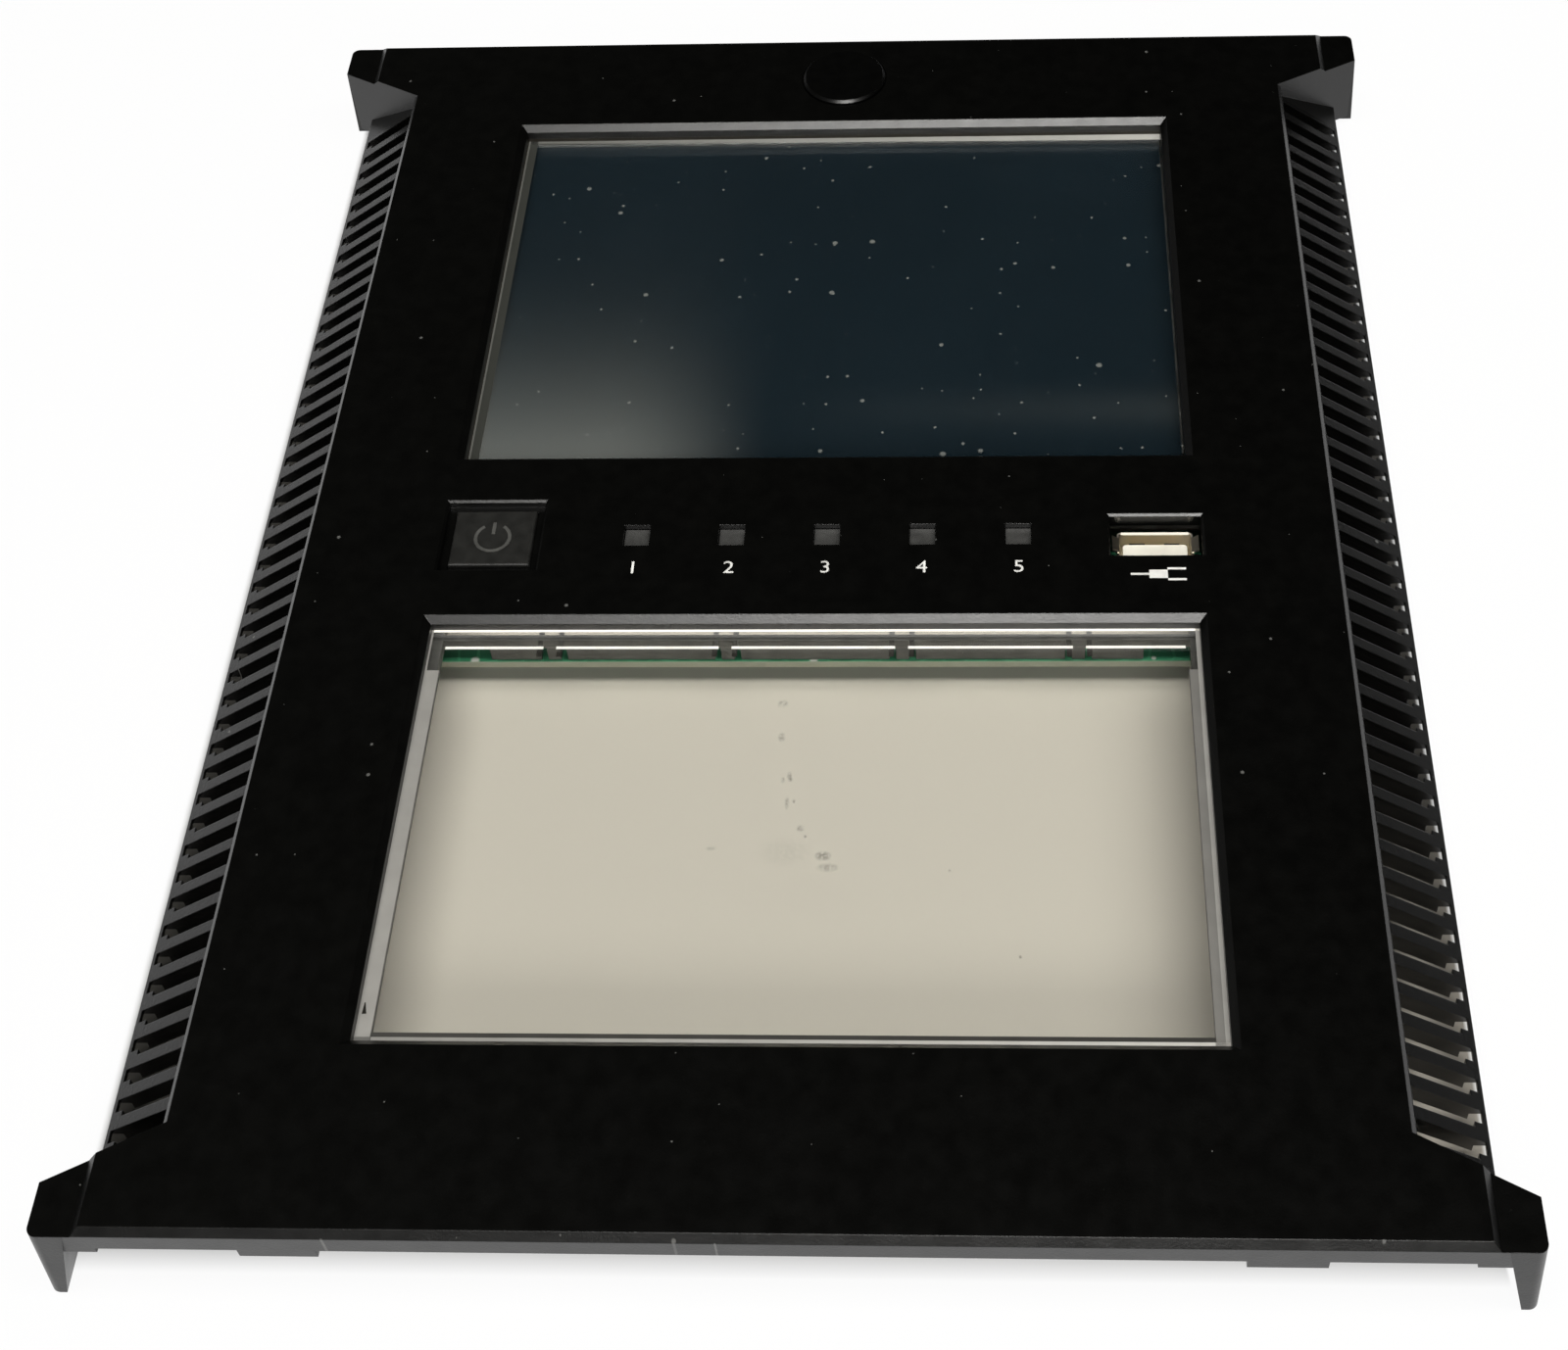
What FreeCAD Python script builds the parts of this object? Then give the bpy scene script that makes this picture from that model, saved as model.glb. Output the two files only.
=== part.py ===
import FreeCAD, Part
import os
import re
import Sketcher

# Front bezel of a six-unit tape library, with its display, power button, status lamps, service port and
# viewing window. It lies face up on its four corner legs: X runs across the face, Y towards its top edge
# and Z out of the face. The origin is the middle of the footprint, at the level of the feet.

SIZES = {
    # Moulded outline: a waisted raised panel between two ends that carry the horns
    "bezel_length": 264.0,
    "bezel_depth": 18.0,
    "waist_width": 179.8,
    "waist_length": 230.8,
    "panel_width": 199.0,
    "horn_span": 212.0,
    "horn_length": 247.8,
    "face_wall": 2.8,
    "side_wall": 2.0,
    "shoulder_drop": 1.2,
    "panel_chamfer": 1.1,
    "waist_chamfer": 0.7,
    "rim_depth": 5.0,
    "tip_radius": 1.5,
    # Louvred bands down both sides
    "louvre_span": 205.2,
    "louvre_step": 3.3,
    "louvre_fall": 8.9,
    "louvre_pitch": 5.0,
    "louvre_slot": 3.0,
    "louvre_rim": 0.7,
    "slot_inset": 0.7,
    "notch_reach": 1.4,
    "notch_slot": 2.1,
    "fin_depth": 3.9,
    "band_lip": 0.5,
    "lip_set": 0.3,
    # Corner legs, the pads at their roots and the snap tabs on the end rims
    "leg_root": 5.4,
    "leg_foot": 2.5,
    "leg_flare": 1.2,
    "leg_set": 1.4,
    "root_pad_reach": 9.0,
    "root_pad_depth": 1.2,
    "tab_spacing": 142.0,
    "tab_width": 11.3,
    "tab_depth": 2.0,
    # Screen and window openings, measured over their bevels
    "opening_bevel": 1.2,
    "screen_width": 132.0,
    "screen_height": 92.3,
    "screen_y": 59.15,
    "window_width": 132.5,
    "window_height": 80.2,
    "window_y": -62.4,
    # Bosses, pilot holes and stiffening ribs on the back of the moulding
    "post_width": 6.4,
    "post_gap": 0.8,
    "mount_spacing_x": 160.0,
    "mount_spacing_y": 246.0,
    "mount_boss": 7.0,
    "mount_boss_height": 7.2,
    "mount_pilot": 2.8,
    "rib_pitch": 30.0,
    "rib_thickness": 1.2,
    "rib_depth": 3.0,
    "rib_length": 17.0,
    # Thread-forming screws
    "screw_shank": 2.5,
    "screw_pilot": 2.7,
    "screw_hole": 3.2,
    "screw_head": 5.4,
    "screw_head_height": 1.9,
    "screw_grip": 3.0,
    # Round badge near the top edge
    "badge_y": 118.8,
    "badge_diameter": 17.0,
    "badge_thickness": 1.4,
    "badge_recess": 0.6,
    "badge_bevel": 0.5,
    "badge_clearance": 0.3,
    # Display stack behind the screen opening
    "gasket_thickness": 0.8,
    "touch_lap": 4.7,
    "touch_thickness": 1.8,
    "display_inset": 1.5,
    "display_thickness": 6.0,
    "display_sheet": 0.5,
    "display_border": 3.4,
    "cell_clearance": 0.2,
    "bracket_lap": 0.8,
    "bracket_margin": 5.0,
    "bracket_thickness": 1.0,
    "bracket_flange": 2.6,
    "bracket_border": 19.5,
    "bracket_web": 14.0,
    "bracket_screw_set": 11.5,
    # Control board behind the row of controls
    "board_level": 12.4,
    "board_width": 160.0,
    "board_height": 30.4,
    "board_thickness": 1.6,
    "board_lip": 0.3,
    "board_screw_x": 150.0,
    "board_screw_y": 20.5,
    "host_x": -22.0,
    "host_width": 30.0,
    "host_depth": 6.0,
    "host_height": 3.2,
    "host_wall": 0.9,
    "flex_x": 30.0,
    "flex_width": 24.0,
    "flex_depth": 4.4,
    "flex_height": 1.9,
    "flex_slit": 0.6,
    # Power button and its switch
    "button_x": -57.0,
    "button_y": -4.6,
    "recess_width": 17.2,
    "recess_height": 15.2,
    "recess_depth": 1.6,
    "button_width": 14.2,
    "button_height": 12.3,
    "button_clearance": 0.2,
    "button_sink": 0.8,
    "button_round": 0.4,
    "button_flange": 1.2,
    "button_flange_thickness": 1.0,
    "button_travel": 0.6,
    "stem_diameter": 5.0,
    "switch_size": 6.2,
    "switch_height": 3.8,
    "plunger_diameter": 3.4,
    "plunger_reach": 1.0,
    "plunger_depth": 1.8,
    "plunger_clearance": 0.3,
    "plunger_room": 0.4,
    # Row of status lamps
    "lamp_x": 1.7,
    "lamp_y": -4.9,
    "lamp_pitch": 16.6,
    "lamp_hole": 4.6,
    "lamp_clearance": 0.1,
    "lamp_sink": 1.2,
    "lamp_flange": 0.9,
    "lamp_flange_thickness": 0.8,
    "lamp_foot": 3.4,
    "led_width": 3.2,
    "led_depth": 2.8,
    "led_height": 0.8,
    "led_gap": 0.3,
    # Service port
    "port_x": 58.6,
    "port_y": -5.15,
    "port_width": 15.8,
    "port_height": 8.7,
    "port_chamfer": 0.4,
    "shell_width": 13.1,
    "shell_height": 5.7,
    "shell_wall": 0.35,
    "shell_round": 0.6,
    "shell_sink": 3.0,
    "lip_reach": 0.9,
    "lip_height": 3.2,
    "insulator_clearance": 0.1,
    "insulator_base": 2.0,
    "tongue_width": 11.1,
    "tongue_thickness": 1.9,
    "tongue_drop": 0.9,
    "tongue_sink": 1.0,
    "contact_inner": 1.0,
    "contact_outer": 3.5,
    "contact_width": 1.0,
    "contact_length": 4.6,
    "contact_thickness": 0.2,
    # Viewing window: thick pane, held by a frame with a hood wall along its upper edge
    "pane_lap": 1.2,
    "pane_top_lap": 0.1,
    "pane_thickness": 4.0,
    "pane_clearance": 0.3,
    "retainer_wall": 3.2,
    "retainer_plate": 2.0,
    "tunnel_side": 1.4,
    "tunnel_top": 0.5,
    "tunnel_bottom": 1.9,
    "hood_depth": 5.4,
    "hood_wall": 1.6,
    "hood_width": 112.0,
    "finger_pitch": 30.0,
    "finger_width": 2.2,
    "finger_slit": 1.2,
    "ear_width": 9.0,
    "ear_reach": 2.4,
    "side_ear_spacing": 40.0,
    "end_ear_spacing": 80.0,
    # Snap hooks behind the face that hold the window's frame by its ears
    "hook_width": 7.0,
    "hook_wall": 1.8,
    "hook_gap": 0.2,
    "hook_bite": 1.0,
    "hook_drop": 1.8,
    "hook_lip": 0.6,
}

LAMP_COUNT = 5
LAMP_MIDDLE = (LAMP_COUNT - 1) / 2
RIB_STEPS = (-2, -1, 0, 1, 2)
FINGER_STEPS = (-1.5, -0.5, 0.5, 1.5)
SIDES = (1, -1)

# Levels, measured up from the feet
FACE = "bezel_depth"
SHOULDER = "(bezel_depth - shoulder_drop)"
UNDERSIDE = "(bezel_depth - face_wall)"
RIM_BOTTOM = "(bezel_depth - rim_depth)"
TOUCH_TOP = f"({UNDERSIDE} - gasket_thickness)"
DISPLAY_TOP = f"({TOUCH_TOP} - touch_thickness)"
BRACKET_TOP = f"({DISPLAY_TOP} - display_thickness)"
BRACKET_BACK = f"({BRACKET_TOP} - bracket_thickness)"
BOARD_TOP = "(bezel_depth - board_level)"
BOARD_BACK = f"({BOARD_TOP} - board_thickness)"
PANE_BACK = f"({UNDERSIDE} - pane_thickness)"
RETAINER_BACK = f"({PANE_BACK} - retainer_plate)"
SHELL_MOUTH = "(bezel_depth - shell_sink)"
PLUNGER_TOP = f"({BOARD_TOP} + switch_height + plunger_reach)"
LED_TOP = f"({BOARD_TOP} + led_height)"

# Half widths and the slanted end walls of the waist
HALF_LENGTH = "(bezel_length / 2)"
HALF_WAIST = "(waist_width / 2)"
HALF_PANEL = "(panel_width / 2)"
HALF_SPAN = "(horn_span / 2)"
HALF_LOUVRE = "(louvre_span / 2)"
SLANT = "((horn_length - waist_length) / (horn_span - waist_width))"
SLANT_WALL = f"(side_wall * sqrt(1 + {SLANT}^2))"
LOUVRE_SLOPE = "(2 * louvre_fall / (louvre_span - waist_width))"
INNER_WAIST = f"({HALF_WAIST} - side_wall)"
INNER_LENGTH = f"({HALF_LENGTH} - side_wall)"

# Display stack, from the lower edges of the screen opening outwards
SCREEN_OPENING_WIDTH = "(screen_width - 2 * opening_bevel)"
SCREEN_OPENING_HEIGHT = "(screen_height - 2 * opening_bevel)"
TOUCH_WIDTH = f"({SCREEN_OPENING_WIDTH} + 2 * touch_lap)"
TOUCH_HEIGHT = f"({SCREEN_OPENING_HEIGHT} + 2 * touch_lap)"
DISPLAY_WIDTH = f"({TOUCH_WIDTH} - 2 * display_inset)"
DISPLAY_HEIGHT = f"({TOUCH_HEIGHT} - 2 * display_inset)"
BRACKET_SCREW_X = f"({TOUCH_WIDTH} + post_width + 2 * post_gap)"
BRACKET_WIDTH = f"({BRACKET_SCREW_X} + 2 * bracket_margin)"
BRACKET_HEIGHT = f"({TOUCH_HEIGHT} + 2 * bracket_lap)"
BRACKET_SCREW_Y = f"({BRACKET_HEIGHT} - 2 * bracket_screw_set)"

# Ends of the louvre slots and of the thin lip outside them
NOTCH_END = f"({HALF_LOUVRE} - louvre_rim)"
SLOT_END = f"({NOTCH_END} - notch_reach)"
LIP_START = f"({SLOT_END} - lip_set)"

# Edges of the window's openings, in Y and X
WINDOW_TOP = "(window_y + window_height / 2 - opening_bevel)"
WINDOW_BOTTOM = "(window_y - window_height / 2 + opening_bevel)"
WINDOW_HALF = "(window_width / 2 - opening_bevel)"
TUNNEL_TOP = f"({WINDOW_TOP} - tunnel_top)"
TUNNEL_BOTTOM = f"({WINDOW_BOTTOM} + tunnel_bottom)"
TUNNEL_HALF = f"({WINDOW_HALF} - tunnel_side)"
PANE_TOP = f"({WINDOW_TOP} + pane_top_lap)"
PANE_BOTTOM = f"({WINDOW_BOTTOM} - pane_lap)"
PANE_HALF = f"({WINDOW_HALF} + pane_lap)"
SKIRT_TOP = f"({PANE_TOP} + pane_clearance + retainer_wall)"
SKIRT_BOTTOM = f"({PANE_BOTTOM} - pane_clearance - retainer_wall)"
SKIRT_HALF = f"({PANE_HALF} + pane_clearance + retainer_wall)"
BOARD_BOTTOM = f"({TUNNEL_TOP} - board_lip)"
BOARD_MIDDLE = f"({BOARD_BOTTOM} + board_height / 2)"

document = FreeCAD.newDocument("tape_library_bezel")
sheet = document.addObject("Spreadsheet::Sheet", "Sizes")
for row, (alias, value) in enumerate(SIZES.items(), start=1):
    sheet.set(f"A{row}", alias)
    sheet.set(f"B{row}", str(value))
    sheet.setAlias(f"B{row}", alias)
document.recompute()

nodes = {}


def bound(text):
    """Turn plain size names into references to the sheet's cells."""
    return re.sub(r"[a-z]\w*", lambda word: f"Sizes.{word[0]}" if word[0] in SIZES else word[0], str(text))


def number(text):
    """Present value of an expression of sizes."""
    return float(sheet.evalExpression(bound(text)))


def bind(item, name, text):
    """Tie one property of an object to an expression of sizes."""
    item.setExpression(name, bound(text))


def slanted(x):
    """Y of the slanted wall at a distance x from the middle."""
    return f"(waist_length / 2 + {SLANT} * ({x} - {HALF_WAIST}))"


def louvre_level(x):
    """Level of the louvred slope at a distance x from the middle."""
    return f"(bezel_depth - louvre_step - {LOUVRE_SLOPE} * ({x} - {HALF_WAIST}))"


def rectangle(x, y, width, height):
    """Corners of a rectangle about its middle."""
    left = f"({x}) - ({width}) / 2"
    right = f"({x}) + ({width}) / 2"
    low = f"({y}) - ({height}) / 2"
    high = f"({y}) + ({height}) / 2"
    return [(left, low), (right, low), (right, high), (left, high)]


def spanned(left, right, low, high):
    """Corners of a rectangle between its four edges."""
    return [(left, low), (right, low), (right, high), (left, high)]


def waisted(waist, waist_end, tip, tip_start, end):
    """Corners of an outline that is mirrored about both axes and narrower at its waist."""
    quarter = [(waist, waist_end), (tip, tip_start), (tip, end)]
    top = quarter + [(f"-{x}", y) for x, y in reversed(quarter)]
    return top + [(x, f"-{y}") for x, y in reversed(top)]


def new_body(name):
    """Empty body, listed as a node."""
    body = document.addObject("PartDesign::Body", name)
    body.Label = name
    nodes[name] = body
    return body


def new_sketch(body, name, plane, lift):
    """Empty sketch parallel to one of the body's own planes, lifted along that plane's normal."""
    sketch = body.newObject("Sketcher::SketchObject", name)
    support = next(item for item in body.Origin.OriginFeatures if item.Role == plane)
    sketch.AttachmentSupport = [(support, "")]
    sketch.MapMode = "FlatFace"
    bind(sketch, "AttachmentOffset.Base.z", lift)
    return sketch


def hold_point(sketch, shape, point, x, y):
    """Hold a point of the sketch's geometry at two expressions of sizes."""
    for kind, text in (("DistanceX", x), ("DistanceY", y)):
        index = sketch.addConstraint(Sketcher.Constraint(kind, -1, 1, shape, point, number(text)))
        bind(sketch, f"Constraints[{index}]", text)


def draw_polygon(sketch, corners):
    """Add a closed outline with straight sides, each corner held by sizes."""
    spots = [FreeCAD.Vector(number(x), number(y), 0) for x, y in corners]
    first = sketch.GeometryCount
    count = len(spots)
    for index, spot in enumerate(spots):
        sketch.addGeometry(Part.LineSegment(spot, spots[(index + 1) % count]))
    for index in range(count):
        follower = first + (index + 1) % count
        sketch.addConstraint(Sketcher.Constraint("Coincident", first + index, 2, follower, 1))
    for index, (x, y) in enumerate(corners):
        hold_point(sketch, first + index, 1, x, y)


def draw_circle(sketch, x, y, diameter):
    """Add a circle, its middle and diameter held by sizes."""
    middle = FreeCAD.Vector(number(x), number(y), 0)
    up = FreeCAD.Vector(0, 0, 1)
    shape = sketch.addGeometry(Part.Circle(middle, up, number(diameter) / 2))
    hold_point(sketch, shape, 3, x, y)
    index = sketch.addConstraint(Sketcher.Constraint("Diameter", shape, number(diameter)))
    bind(sketch, f"Constraints[{index}]", diameter)


def plan(body, name, level, outlines=(), circles=()):
    """Sketch in plan at a level, with straight-sided outlines and circles."""
    sketch = new_sketch(body, name, "XY_Plane", level)
    for corners in outlines:
        draw_polygon(sketch, corners)
    for x, y, diameter in circles:
        draw_circle(sketch, x, y, diameter)
    return sketch


def extrude(body, kind, sketch, length, reverse):
    """Pad or pocket of a sketch, with its length tied to sizes."""
    feature = body.newObject(f"PartDesign::{kind}", f"{sketch.Name}_{kind.lower()}")
    feature.Profile = sketch
    feature.Reversed = reverse
    bind(feature, "Length", length)
    body.Tip = feature
    return feature


def pad_down(body, sketch, length):
    """Solid below a plan sketch."""
    return extrude(body, "Pad", sketch, length, True)


def cut_down(body, sketch, length):
    """Cut below a plan sketch."""
    return extrude(body, "Pocket", sketch, length, False)


def cut_up(body, sketch, length):
    """Cut above a plan sketch."""
    return extrude(body, "Pocket", sketch, length, True)


def mirrored(near, far, side):
    """Edges of a span on one side of the middle, the lower first."""
    return (near, far) if side > 0 else (f"-{far}", f"-{near}")


def wedge(body, name, levels, foot, root):
    """Upright block that tapers between two levels, its ends given by their edges in X and Y."""
    item = body.newObject("PartDesign::AdditiveWedge", name)
    support = next(item for item in body.Origin.OriginFeatures if item.Role == "XZ_Plane")
    item.AttachmentSupport = [(support, "")]
    item.MapMode = "FlatFace"
    bind(item, "Ymin", levels[0])
    bind(item, "Ymax", levels[1])
    for mark, (left, right, low, high) in (("", foot), ("2", root)):
        bind(item, f"X{mark}min", left)
        bind(item, f"X{mark}max", right)
        bind(item, f"Z{mark}min", f"-({high})")
        bind(item, f"Z{mark}max", f"-({low})")
    body.Tip = item


def dress(body, kind, name, size_name, size, test):
    """Fillet or chamfer on every edge of the body that passes a test."""
    document.recompute()
    base = body.Tip
    edges = [f"Edge{place}" for place, edge in enumerate(base.Shape.Edges, start=1) if test(edge)]
    if not edges:
        raise RuntimeError(f"no edge found for {name}")
    feature = body.newObject(f"PartDesign::{kind}", name)
    feature.Base = (base, edges)
    bind(feature, size_name, size)
    body.Tip = feature
    return feature


def close(value, text):
    """Whether a measured value equals an expression of sizes."""
    return abs(value - number(text)) < 1e-4


def level_edge(edge, level):
    """Whether an edge lies wholly at one level."""
    return close(edge.BoundBox.ZMin, level) and close(edge.BoundBox.ZMax, level)


def block(name, x, y, level, width, depth, height):
    """Plain box about a middle in plan, standing on a level."""
    item = document.addObject("Part::Box", name)
    bind(item, "Length", width)
    bind(item, "Width", depth)
    bind(item, "Height", height)
    bind(item, "Placement.Base.x", f"({x}) - ({width}) / 2")
    bind(item, "Placement.Base.y", f"({y}) - ({depth}) / 2")
    bind(item, "Placement.Base.z", level)
    return item


def post(name, x, y, level, diameter, height):
    """Upright cylinder standing on a level."""
    item = document.addObject("Part::Cylinder", name)
    bind(item, "Radius", f"({diameter}) / 2")
    bind(item, "Height", height)
    bind(item, "Placement.Base.x", x)
    bind(item, "Placement.Base.y", y)
    bind(item, "Placement.Base.z", level)
    return item


def taper(name, x, y, level, lower, upper, height):
    """Upright cone frustum standing on a level, given by its two diameters."""
    item = document.addObject("Part::Cone", name)
    bind(item, "Radius1", f"({lower}) / 2")
    bind(item, "Radius2", f"({upper}) / 2")
    bind(item, "Height", height)
    bind(item, "Placement.Base.x", x)
    bind(item, "Placement.Base.y", y)
    bind(item, "Placement.Base.z", level)
    return item


def joined(name, items):
    """Several solids fused into one."""
    item = document.addObject("Part::MultiFuse", name)
    item.Shapes = items
    return item


def grouped(name, items):
    """Several separate solids in one node."""
    item = document.addObject("Part::Compound", name)
    item.Links = items
    return item


def carved(name, base, tool):
    """One solid less another."""
    item = document.addObject("Part::Cut", name)
    item.Base = base
    item.Tool = tool
    return item


def listed(item, name):
    """Enter a finished object as a node."""
    item.Label = name
    nodes[name] = item
    return item


def corner_places(x_spacing, y_spacing, y_middle):
    """Middles of four holes at the corners of a rectangle."""
    return [
        (f"{side} * ({x_spacing}) / 2", f"({y_middle}) + {end} * ({y_spacing}) / 2")
        for side in SIDES
        for end in SIDES
    ]


def bracket_places():
    """Screws of the display bracket."""
    return corner_places(BRACKET_SCREW_X, BRACKET_SCREW_Y, "screen_y")


def board_places():
    """Screws of the control board."""
    return corner_places("board_screw_x", "board_screw_y", BOARD_MIDDLE)


def side_ear_place(end):
    """Y of one row of the retainer's side ears."""
    return f"(window_y + {end} * side_ear_spacing / 2)"


def end_ear_place(side):
    """X of one of the retainer's lower ears."""
    return f"({side} * end_ear_spacing / 2)"


def mount_places():
    """Bosses that fasten the bezel to its chassis."""
    return corner_places("mount_spacing_x", "mount_spacing_y", "0")


def lamp_place(index):
    """X of a status lamp, counted from the left."""
    return f"lamp_x + {index - LAMP_MIDDLE} * lamp_pitch"


def lamp_edges(x, size):
    """Edges of a square of one size about a status lamp, in X and Y."""
    return (f"{x} - ({size}) / 2", f"{x} + ({size}) / 2", f"lamp_y - ({size}) / 2", f"lamp_y + ({size}) / 2")


def add_outline(body):
    """Shoulder with the four horns, and the raised panel with its chamfered edges."""
    horns = waisted(HALF_WAIST, "(waist_length / 2)", HALF_SPAN, "(horn_length / 2)", HALF_LENGTH)
    pad_down(body, plan(body, "shoulder", SHOULDER, [horns]), "rim_depth - shoulder_drop")
    panel = waisted(HALF_WAIST, "(waist_length / 2)", HALF_PANEL, slanted(HALF_PANEL), HALF_LENGTH)
    pad_down(body, plan(body, "panel", FACE, [panel]), "face_wall")

    def panel_edge(edge):
        box = edge.BoundBox
        at_end = close(abs(box.YMin), HALF_LENGTH) and box.YLength < 1e-4
        at_horn = close(abs(box.XMin), HALF_PANEL) and box.XLength < 1e-4
        return level_edge(edge, FACE) and (at_end or at_horn)

    def waist_edge(edge):
        box = edge.BoundBox
        return level_edge(edge, FACE) and close(abs(box.XMin), HALF_WAIST) and box.XLength < 1e-4

    dress(body, "Chamfer", "panel_edges", "Size", "panel_chamfer", panel_edge)
    dress(body, "Chamfer", "waist_edges", "Size", "waist_chamfer", waist_edge)


def add_bands(body):
    """Side walls of the waist, slanted walls at its ends and the sloped bands, thinned to a lip outside."""
    wall_end = slanted(INNER_WAIST)
    walls = [
        spanned(f"-{HALF_WAIST}", f"-{INNER_WAIST}", f"-{wall_end}", wall_end),
        spanned(INNER_WAIST, HALF_WAIST, f"-{wall_end}", wall_end),
    ]
    wall_depth = f"{UNDERSIDE} - {louvre_level(HALF_WAIST)} + fin_depth"
    pad_down(body, plan(body, "waist_walls", UNDERSIDE, walls), wall_depth)
    profile = new_sketch(body, "band_profile", "XZ_Plane", "0")
    near = f"({HALF_WAIST} - side_wall / 2)"
    far = HALF_LOUVRE
    for side in SIDES:
        corners = [
            (near, f"{louvre_level(near)} - fin_depth"),
            (LIP_START, f"{louvre_level(LIP_START)} - fin_depth"),
            (LIP_START, f"{louvre_level(far)} - band_lip"),
            (far, f"{louvre_level(far)} - band_lip"),
            (far, louvre_level(far)),
            (near, louvre_level(near)),
        ]
        draw_polygon(profile, [(f"{side} * {x}", z) for x, z in corners])
    bands = extrude(body, "Pad", profile, f"2 * {slanted(far)} + {SLANT_WALL}", False)
    bands.SideType = "Symmetric"
    closing_walls = []
    for side in SIDES:
        for end in SIDES:
            corners = [
                (near, slanted(near)),
                (HALF_SPAN, slanted(HALF_SPAN)),
                (HALF_SPAN, f"({slanted(HALF_SPAN)} + {SLANT_WALL})"),
                (near, f"({slanted(near)} + {SLANT_WALL})"),
            ]
            closing_walls.append([(f"{side} * {x}", f"{end} * {y}") for x, y in corners])
    closing_depth = f"{SHOULDER} - {louvre_level(far)} + fin_depth"
    pad_down(body, plan(body, "closing_walls", SHOULDER, closing_walls), closing_depth)


def hollow_back(body):
    """Hollow of the moulding, open at the back."""
    horn_wall = f"({HALF_SPAN} - leg_root - side_wall / 2)"
    inner = waisted(
        INNER_WAIST,
        f"({slanted(INNER_WAIST)} + {SLANT_WALL})",
        horn_wall,
        f"({slanted(horn_wall)} + {SLANT_WALL})",
        INNER_LENGTH,
    )
    cut_up(body, plan(body, "hollow", "0", [inner]), UNDERSIDE)


def cut_louvres(body):
    """Row of slots through both bands, each with a notch into the lip, that leaves the thin upright fins."""
    count = "floor(waist_length / louvre_pitch)"
    reach = f"({count} - 1) * louvre_pitch"
    low = f"-{reach} / 2 - louvre_slot / 2"
    high = f"-{reach} / 2 + louvre_slot / 2"
    inner = f"({HALF_WAIST} + slot_inset)"
    notch = f"{high} - notch_slot"
    corners = [
        (inner, low),
        (SLOT_END, low),
        (SLOT_END, notch),
        (NOTCH_END, notch),
        (NOTCH_END, high),
        (inner, high),
    ]
    outlines = [[(f"{side} * {x}", y) for x, y in corners] for side in SIDES]
    sketch = plan(body, "louvre_slot_pair", FACE, outlines)
    slot = cut_down(body, sketch, "bezel_depth")
    pattern = body.newObject("PartDesign::LinearPattern", "louvre_row")
    pattern.Originals = [slot]
    pattern.Direction = (sketch, ["V_Axis"])
    bind(pattern, "Length", reach)
    bind(pattern, "Occurrences", count)
    body.Tip = pattern


def add_legs(body):
    """Four corner legs that taper to their feet and flare outwards a little."""
    root = (f"({HALF_SPAN} - leg_root)", HALF_SPAN)
    foot = (f"({HALF_SPAN} + leg_flare - leg_foot)", f"({HALF_SPAN} + leg_flare)")
    root_length = ("(horn_length / 2)", HALF_LENGTH)
    foot_length = ("(horn_length / 2 + leg_set)", f"({HALF_LENGTH} + leg_flare)")
    for end, end_word in zip(SIDES, ("top", "bottom")):
        for side, side_word in zip(SIDES, ("right", "left")):
            wedge(
                body,
                f"{end_word}_{side_word}_leg",
                ("0", SHOULDER),
                mirrored(*foot, side) + mirrored(*foot_length, end),
                mirrored(*root, side) + mirrored(*root_length, end),
            )


def add_end_rims(body):
    """Pads at the roots of the legs and snap tabs on both end rims."""
    middle = f"({HALF_LENGTH} - side_wall / 2)"
    pad_middle = f"({HALF_SPAN} - root_pad_reach / 2)"
    pads = []
    tabs = []
    for end in SIDES:
        for side in SIDES:
            y = f"{end} * {middle}"
            pads.append(rectangle(f"{side} * {pad_middle}", y, "root_pad_reach", "side_wall"))
            tabs.append(rectangle(f"{side} * tab_spacing / 2", y, "tab_width", "side_wall"))
    pad_down(body, plan(body, "root_pads", RIM_BOTTOM, pads), "root_pad_depth")
    pad_down(body, plan(body, "snap_tabs", RIM_BOTTOM, tabs), "tab_depth")


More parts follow.
